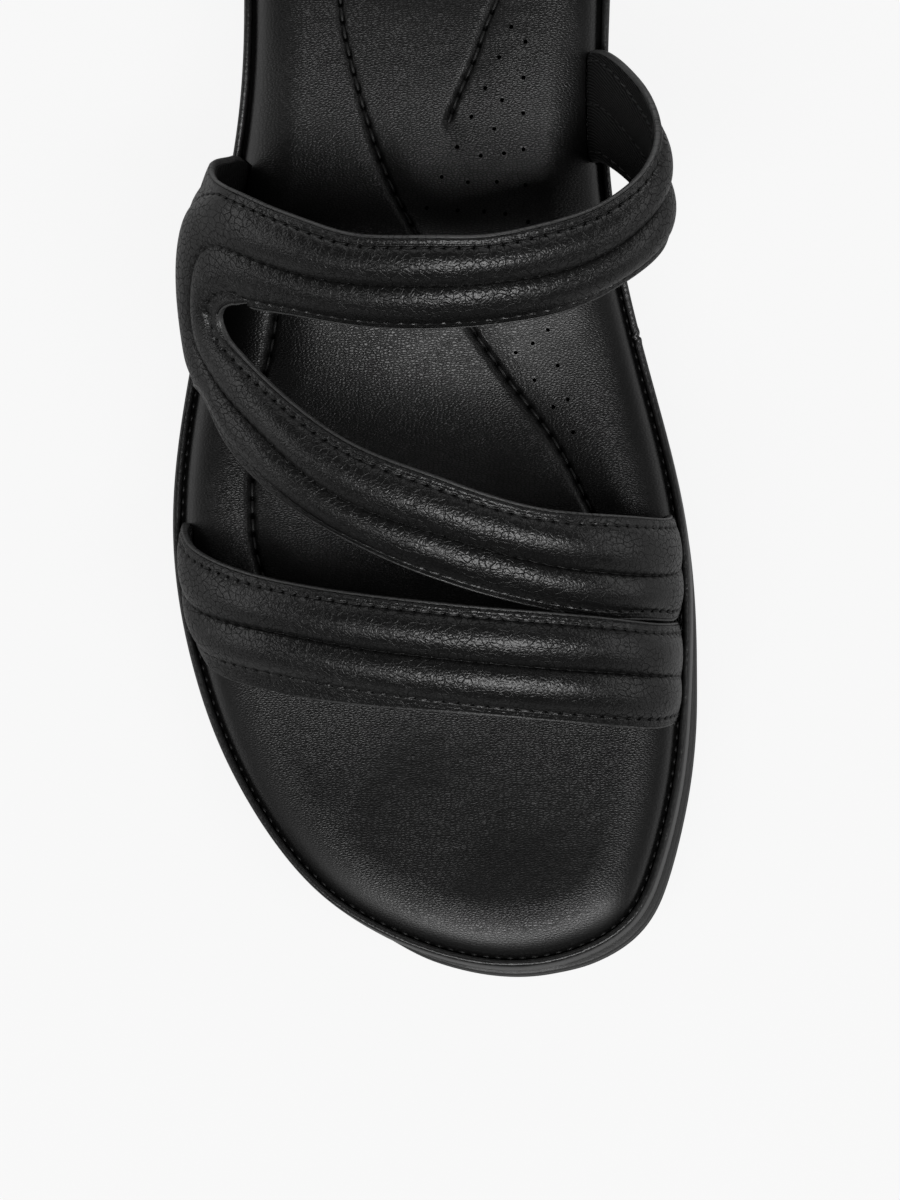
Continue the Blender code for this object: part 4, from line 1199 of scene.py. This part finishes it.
def footbedLoft():  # flat cage of the cushion, and each point's distance to the sewn edge, -1 below it
    size = footbedShape
    indices = ringIndices(size["stations"])
    lateral, medial = slotShare(rim[:, 1], size["lateralSlots"]), slotShare(rim[:, 1], size["medialSlots"])
    notch = size["edgeInset"] + (size["slotInset"] - size["edgeInset"]) * np.where(rimMedial, medial, lateral)
    floor = belowRim(size["trayDepth"] - size["gap"])
    rings = [ringAt(notch + step, floor, indices) for step in size["under"]]
    rings.append(ringAt(notch, belowRim(size["wallTop"]), indices))
    edge = [-1.0] * (len(rings) * len(indices))
    rollSteps = np.linspace(size["rollStart"], size["roll"], size["rollSteps"])
    for k, step in enumerate(np.concatenate([np.linspace(*size["lipSteps"]), rollSteps])):
        least = notch + size["ringStep"] * k
        rings.append(ringAt(np.maximum(size["edgeInset"] + step, least), rimHeight, indices))
        edge += np.maximum(step, least[indices] - size["edgeInset"]).tolist()
    points, faces, inside = loftPoints(rings, size["columns"])
    edge = np.append(edge, np.full(len(points) - len(edge), -1.0))
    edge[inside] = edgeDistance(points[inside][:, :2])
    return points, faces, edge


def footbedMesh():
    size = footbedShape
    points, faces, edge = footbedLoft()
    shape = bmesh.new()
    for name in ("inward", "needle"):
        shape.verts.layers.float.new(name)
    inward, needle = shape.verts.layers.float["inward"], shape.verts.layers.float["needle"]
    verts = [shape.verts.new(point) for point in points]
    for vert, value in zip(verts, edge):
        vert[inward] = value
    for face in faces:
        shape.faces.new([verts[i] for i in face])

    def besideSeam(vert):
        return min(tree.find((vert.co.x, vert.co.y, 0.0))[2] for tree in sewnTrees) < size["fineReach"]

    # finer faces along the sewn lines
    close = {vert for vert in verts if vert[inward] > size["fineInward"] and besideSeam(vert)}
    edges = [e for e in shape.edges if e.verts[0] in close and e.verts[1] in close]
    bmesh.ops.subdivide_edges(shape, edges=edges, cuts=size["fineCuts"], use_grid_fill=True)
    top = [vert for vert in shape.verts if vert[inward] >= 0.0]
    x, y = np.array([vert.co.x for vert in top]), np.array([vert.co.y for vert in top])
    z = footbedTop(x, y, np.array([vert[inward] for vert in top]))
    # the needle holes are stored for the shader too, which darkens them with painted shade
    for vert, height, hole in zip(top, z, sum(holes for away, medial, holes in nearSeams(x, y))):
        vert.co.z, vert[needle] = height, hole
    for vert in shape.verts:
        vert.co *= mm
    bmesh.ops.recalc_face_normals(shape, faces=shape.faces)
    data = bpy.data.meshes.new("footbed_cushion")
    shape.to_mesh(data)
    shape.free()
    data.materials.append(footbedSkin)
    return data


def pinholePunch(pen, given):
    outward = storedVector(pen, "outward")
    upright = pen.add("FunctionNodeAlignRotationToVector", {"axis": "Z"}, {"Vector": outward})
    punch = pen.add("GeometryNodeMeshCylinder",
                    sockets={"Vertices": 12, "Radius": given["Radius"], "Depth": given["Depth"]})
    return {"Instance": punch, "Rotation": upright}


def pinholePlaces():  # points on the cushion with the direction square to it
    holes, step = np.array(footbedShape["pinholes"]), footbedShape["slopeStep"]
    x, y, edge = holes[:, 0], holes[:, 1], edgeDistance(holes)
    z = footbedTop(x, y, edge)
    slopeX, slopeY = (footbedTop(x + step, y, edge) - z) / step, (footbedTop(x, y + step, edge) - z) / step
    normals = np.column_stack([-slopeX, -slopeY, np.ones(len(z))])
    normals /= np.linalg.norm(normals, axis=1, keepdims=True)
    return guidePoints("pinhole_places", np.column_stack([holes, z]), outward=normals)


def makeFootbed():
    size = footbedShape
    piece = addObject("footbed_cushion", footbedMesh())
    # the pinholes' cut faces are marked, and the footbed shader paints shade into them
    tree = cutTree("pinholes", (("Radius", "Float"), ("Depth", "Float")), pinholePunch, mark="punched")
    sizes = {"Radius": size["pinholeRadius"] * mm, "Depth": 2 * size["pinholeDepth"] * mm}
    cutOut(piece, tree, pinholePlaces(), sizes, size["sharp"])
    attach(piece, "root")
    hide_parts("footbed")


makeFootbed()
print("footbed made")


def makeFootbedStitches():
    def upward(line):
        return np.tile([0.0, 0.0, 1.0], (len(line), 1))

    paths = []
    for line, holes in zip(sewnLines, sewnHoles):
        z = footbedTop(line[:, 0], line[:, 1], edgeDistance(line))
        level = z + footbedShape["holeDepth"] * holes + footbedStitch["thread"] * footbedStitch["raise"]
        paths.append((np.column_stack([line, level]), upward(line)))
    stitchRun("footbed_stitches", paths, footbedStitch, threadSkin)
    # sewn edge in the groove of the forefoot
    line = inset(edgeStitch["inset"])
    line = line[rim[:, 1] < np.where(rimMedial, *(toY(place) for place in edgeStitch["ends"]))]
    seam = np.column_stack([line, rimHeight(line[:, 1]) - edgeStitch["sink"]])
    stitchRun("footbed_edge_stitches", [(seam, upward(line))], edgeStitch, threadSkin)


makeFootbedStitches()
print("footbed sewn")


# rubber outsole with a recessed band on its side and cut tread
outsoleShape = {
    "stations": 220, "sharp": 35,
    "profile": (  # step in from the foot in mm, share of the height
        (9.0, 0.0), (3.0, 0.0), (2.3, 0.015), (1.7, 0.05), (1.1, 0.13), (0.5, 0.25), (0.12, 0.37),
        (0.0, 0.43), (0.0, 0.50), (0.12, 0.535), (0.55, 0.565), (0.95, 0.59), (1.05, 0.63), (0.95, 0.67),
        (0.5, 0.70), (0.1, 0.73), (0.0, 0.765), (0.0, 0.90), (0.1, 0.95), (0.35, 0.985), (0.8, 1.0),
        (5.0, 1.0),
    ),
    "groove": (4.0, 2.6), "fine": (0.9, 0.7), "finePerGap": 2, "lean": 8.0,  # width and depth in mm, degrees
    "rows": ((18.0, 43.0, 6, 1), (77.0, 94.0, 4, -1)),  # first and last station, grooves, sense of the lean
}


def treadBar(pen, given):
    lean = pen.add("GeometryNodeInputNamedAttribute", {"data_type": "FLOAT"}, {"Name": "barLean"})
    bar = pen.add("GeometryNodeMeshCube")
    return {"Instance": bar, "Rotation": turnAboutZ(pen, lean), "Scale": storedVector(pen, "barSize")}


def treadPlaces():
    size = outsoleShape
    spots, sizes, leans = [], [], []
    fine = size["finePerGap"] + 1
    for start, end, count, sense in size["rows"]:
        last = (count - 1) * fine
        for k in range(last + 1):
            y = float(toY(start + (end - start) * k / last))
            width, depth = size["groove"] if k % fine == 0 else size["fine"]
            spots.append((0.0, y, float(groundHeight(y))))
            sizes.append((2 * shoe["ballWidth"], width, 2 * depth))
            leans.append(math.radians(size["lean"]) * sense)
    return guidePoints("tread_places", spots, barSize=np.array(sizes, np.float32) * mm, barLean=leans)


def makeOutsole():
    size = outsoleShape
    indices, foot = ringIndices(size["stations"]), footInset()

    def level(share):
        return lambda y: groundHeight(y) + (outsoleTop(y) - groundHeight(y)) * share

    rings = [ringAt(foot + step, level(share), indices) for step, share in size["profile"]]
    points, faces = loftPoints(rings, 2)[:2]
    piece = meshPiece("outsole_rubber", points, faces, rubberSkin)
    cutOut(piece, cutTree("tread bars", (), treadBar), treadPlaces(), {}, size["sharp"])
    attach(piece, "root")
    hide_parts("outsole")


makeOutsole()
print("outsole made")


# plain pale floor and soft studio light
studio = {
    "floor": 3.0, "floorShade": 0.05, "floorGlow": 0.888, "floorRough": 0.9,
    "world": 0.02, "ground": 0.34, "horizon": (-0.15, 0.0), "aim": (0.0, -0.04, 0.03), "away": 2.1,
    "lights": (  # name, tilt from overhead and bearing from the heel in degrees, size in metres, radiance
        ("key box", 24.0, 167.0, (2.7, 0.55), 10.8),
        ("rear panel", 60.0, 2.0, (2.6, 1.3), 0.7),
        ("rear strip", 84.0, 0.0, (2.0, 0.5), 2.5),
        ("front medial box", 50.0, 125.0, (1.0, 0.8), 0.9),
        ("front lateral box", 50.0, 235.0, (1.0, 0.8), 1.4),
        ("medial panel", 80.0, 80.0, (2.6, 0.8), 1.4),
        ("lateral panel", 80.0, 285.0, (2.6, 0.8), 1.6),
    ),
}


def floorPaint():
    material, pen, shader = newMaterial("pale floor")
    paint = {
        "Base Color": shade(studio["floorShade"]), "Roughness": studio["floorRough"],
        "Specular IOR Level": 0.0, "Emission Color": shade(1.0), "Emission Strength": studio["floorGlow"],
    }
    for name, value in paint.items():
        pen.join(shader.inputs[name], value)
    return material


def addRoom():  # a dim room above a grey ground, which the leather mirrors in place of the floor
    world = bpy.data.worlds.new("studio")
    world.use_nodes = True
    pen, sky = Wire(world.node_tree), world.node_tree.nodes["Background"]
    height = pen.add("ShaderNodeSeparateXYZ", sockets={0: pen.add("ShaderNodeTexCoord")}, out=2)
    tone = height.ramp(*studio["horizon"]).blend(shade(studio["ground"]), shade(studio["world"]))
    pen.join(sky.inputs["Color"], tone)
    bpy.context.scene.world = world


def addLamp(name, tilt, bearing, size, radiance):
    data = bpy.data.lights.new(name, "AREA")
    data.shape = "RECTANGLE"
    data.size, data.size_y = size
    data.energy = radiance * math.pi * size[0] * size[1]
    lamp = addObject(name, data)
    tilt, bearing = math.radians(tilt), math.radians(bearing)
    away = Vector((math.sin(tilt) * math.sin(bearing), math.sin(tilt) * math.cos(bearing), math.cos(tilt)))
    lamp.location = Vector(studio["aim"]) + away * studio["away"]
    lamp.rotation_euler = away.to_track_quat("Z", "Y").to_euler()


def addStudio():
    half = studio["floor"] / mm
    corners = [(-half, -half, 0), (half, -half, 0), (half, half, 0), (-half, half, 0)]
    floor = meshPiece("floor", corners, [(0, 1, 2, 3)], floorPaint())
    floor.visible_glossy = False  # the leather mirrors the lamps and the dim room only
    addRoom()
    for light in studio["lights"]:
        addLamp(*light)
    bpy.context.scene.view_settings.view_transform = "Standard"


addStudio()
print("studio set")
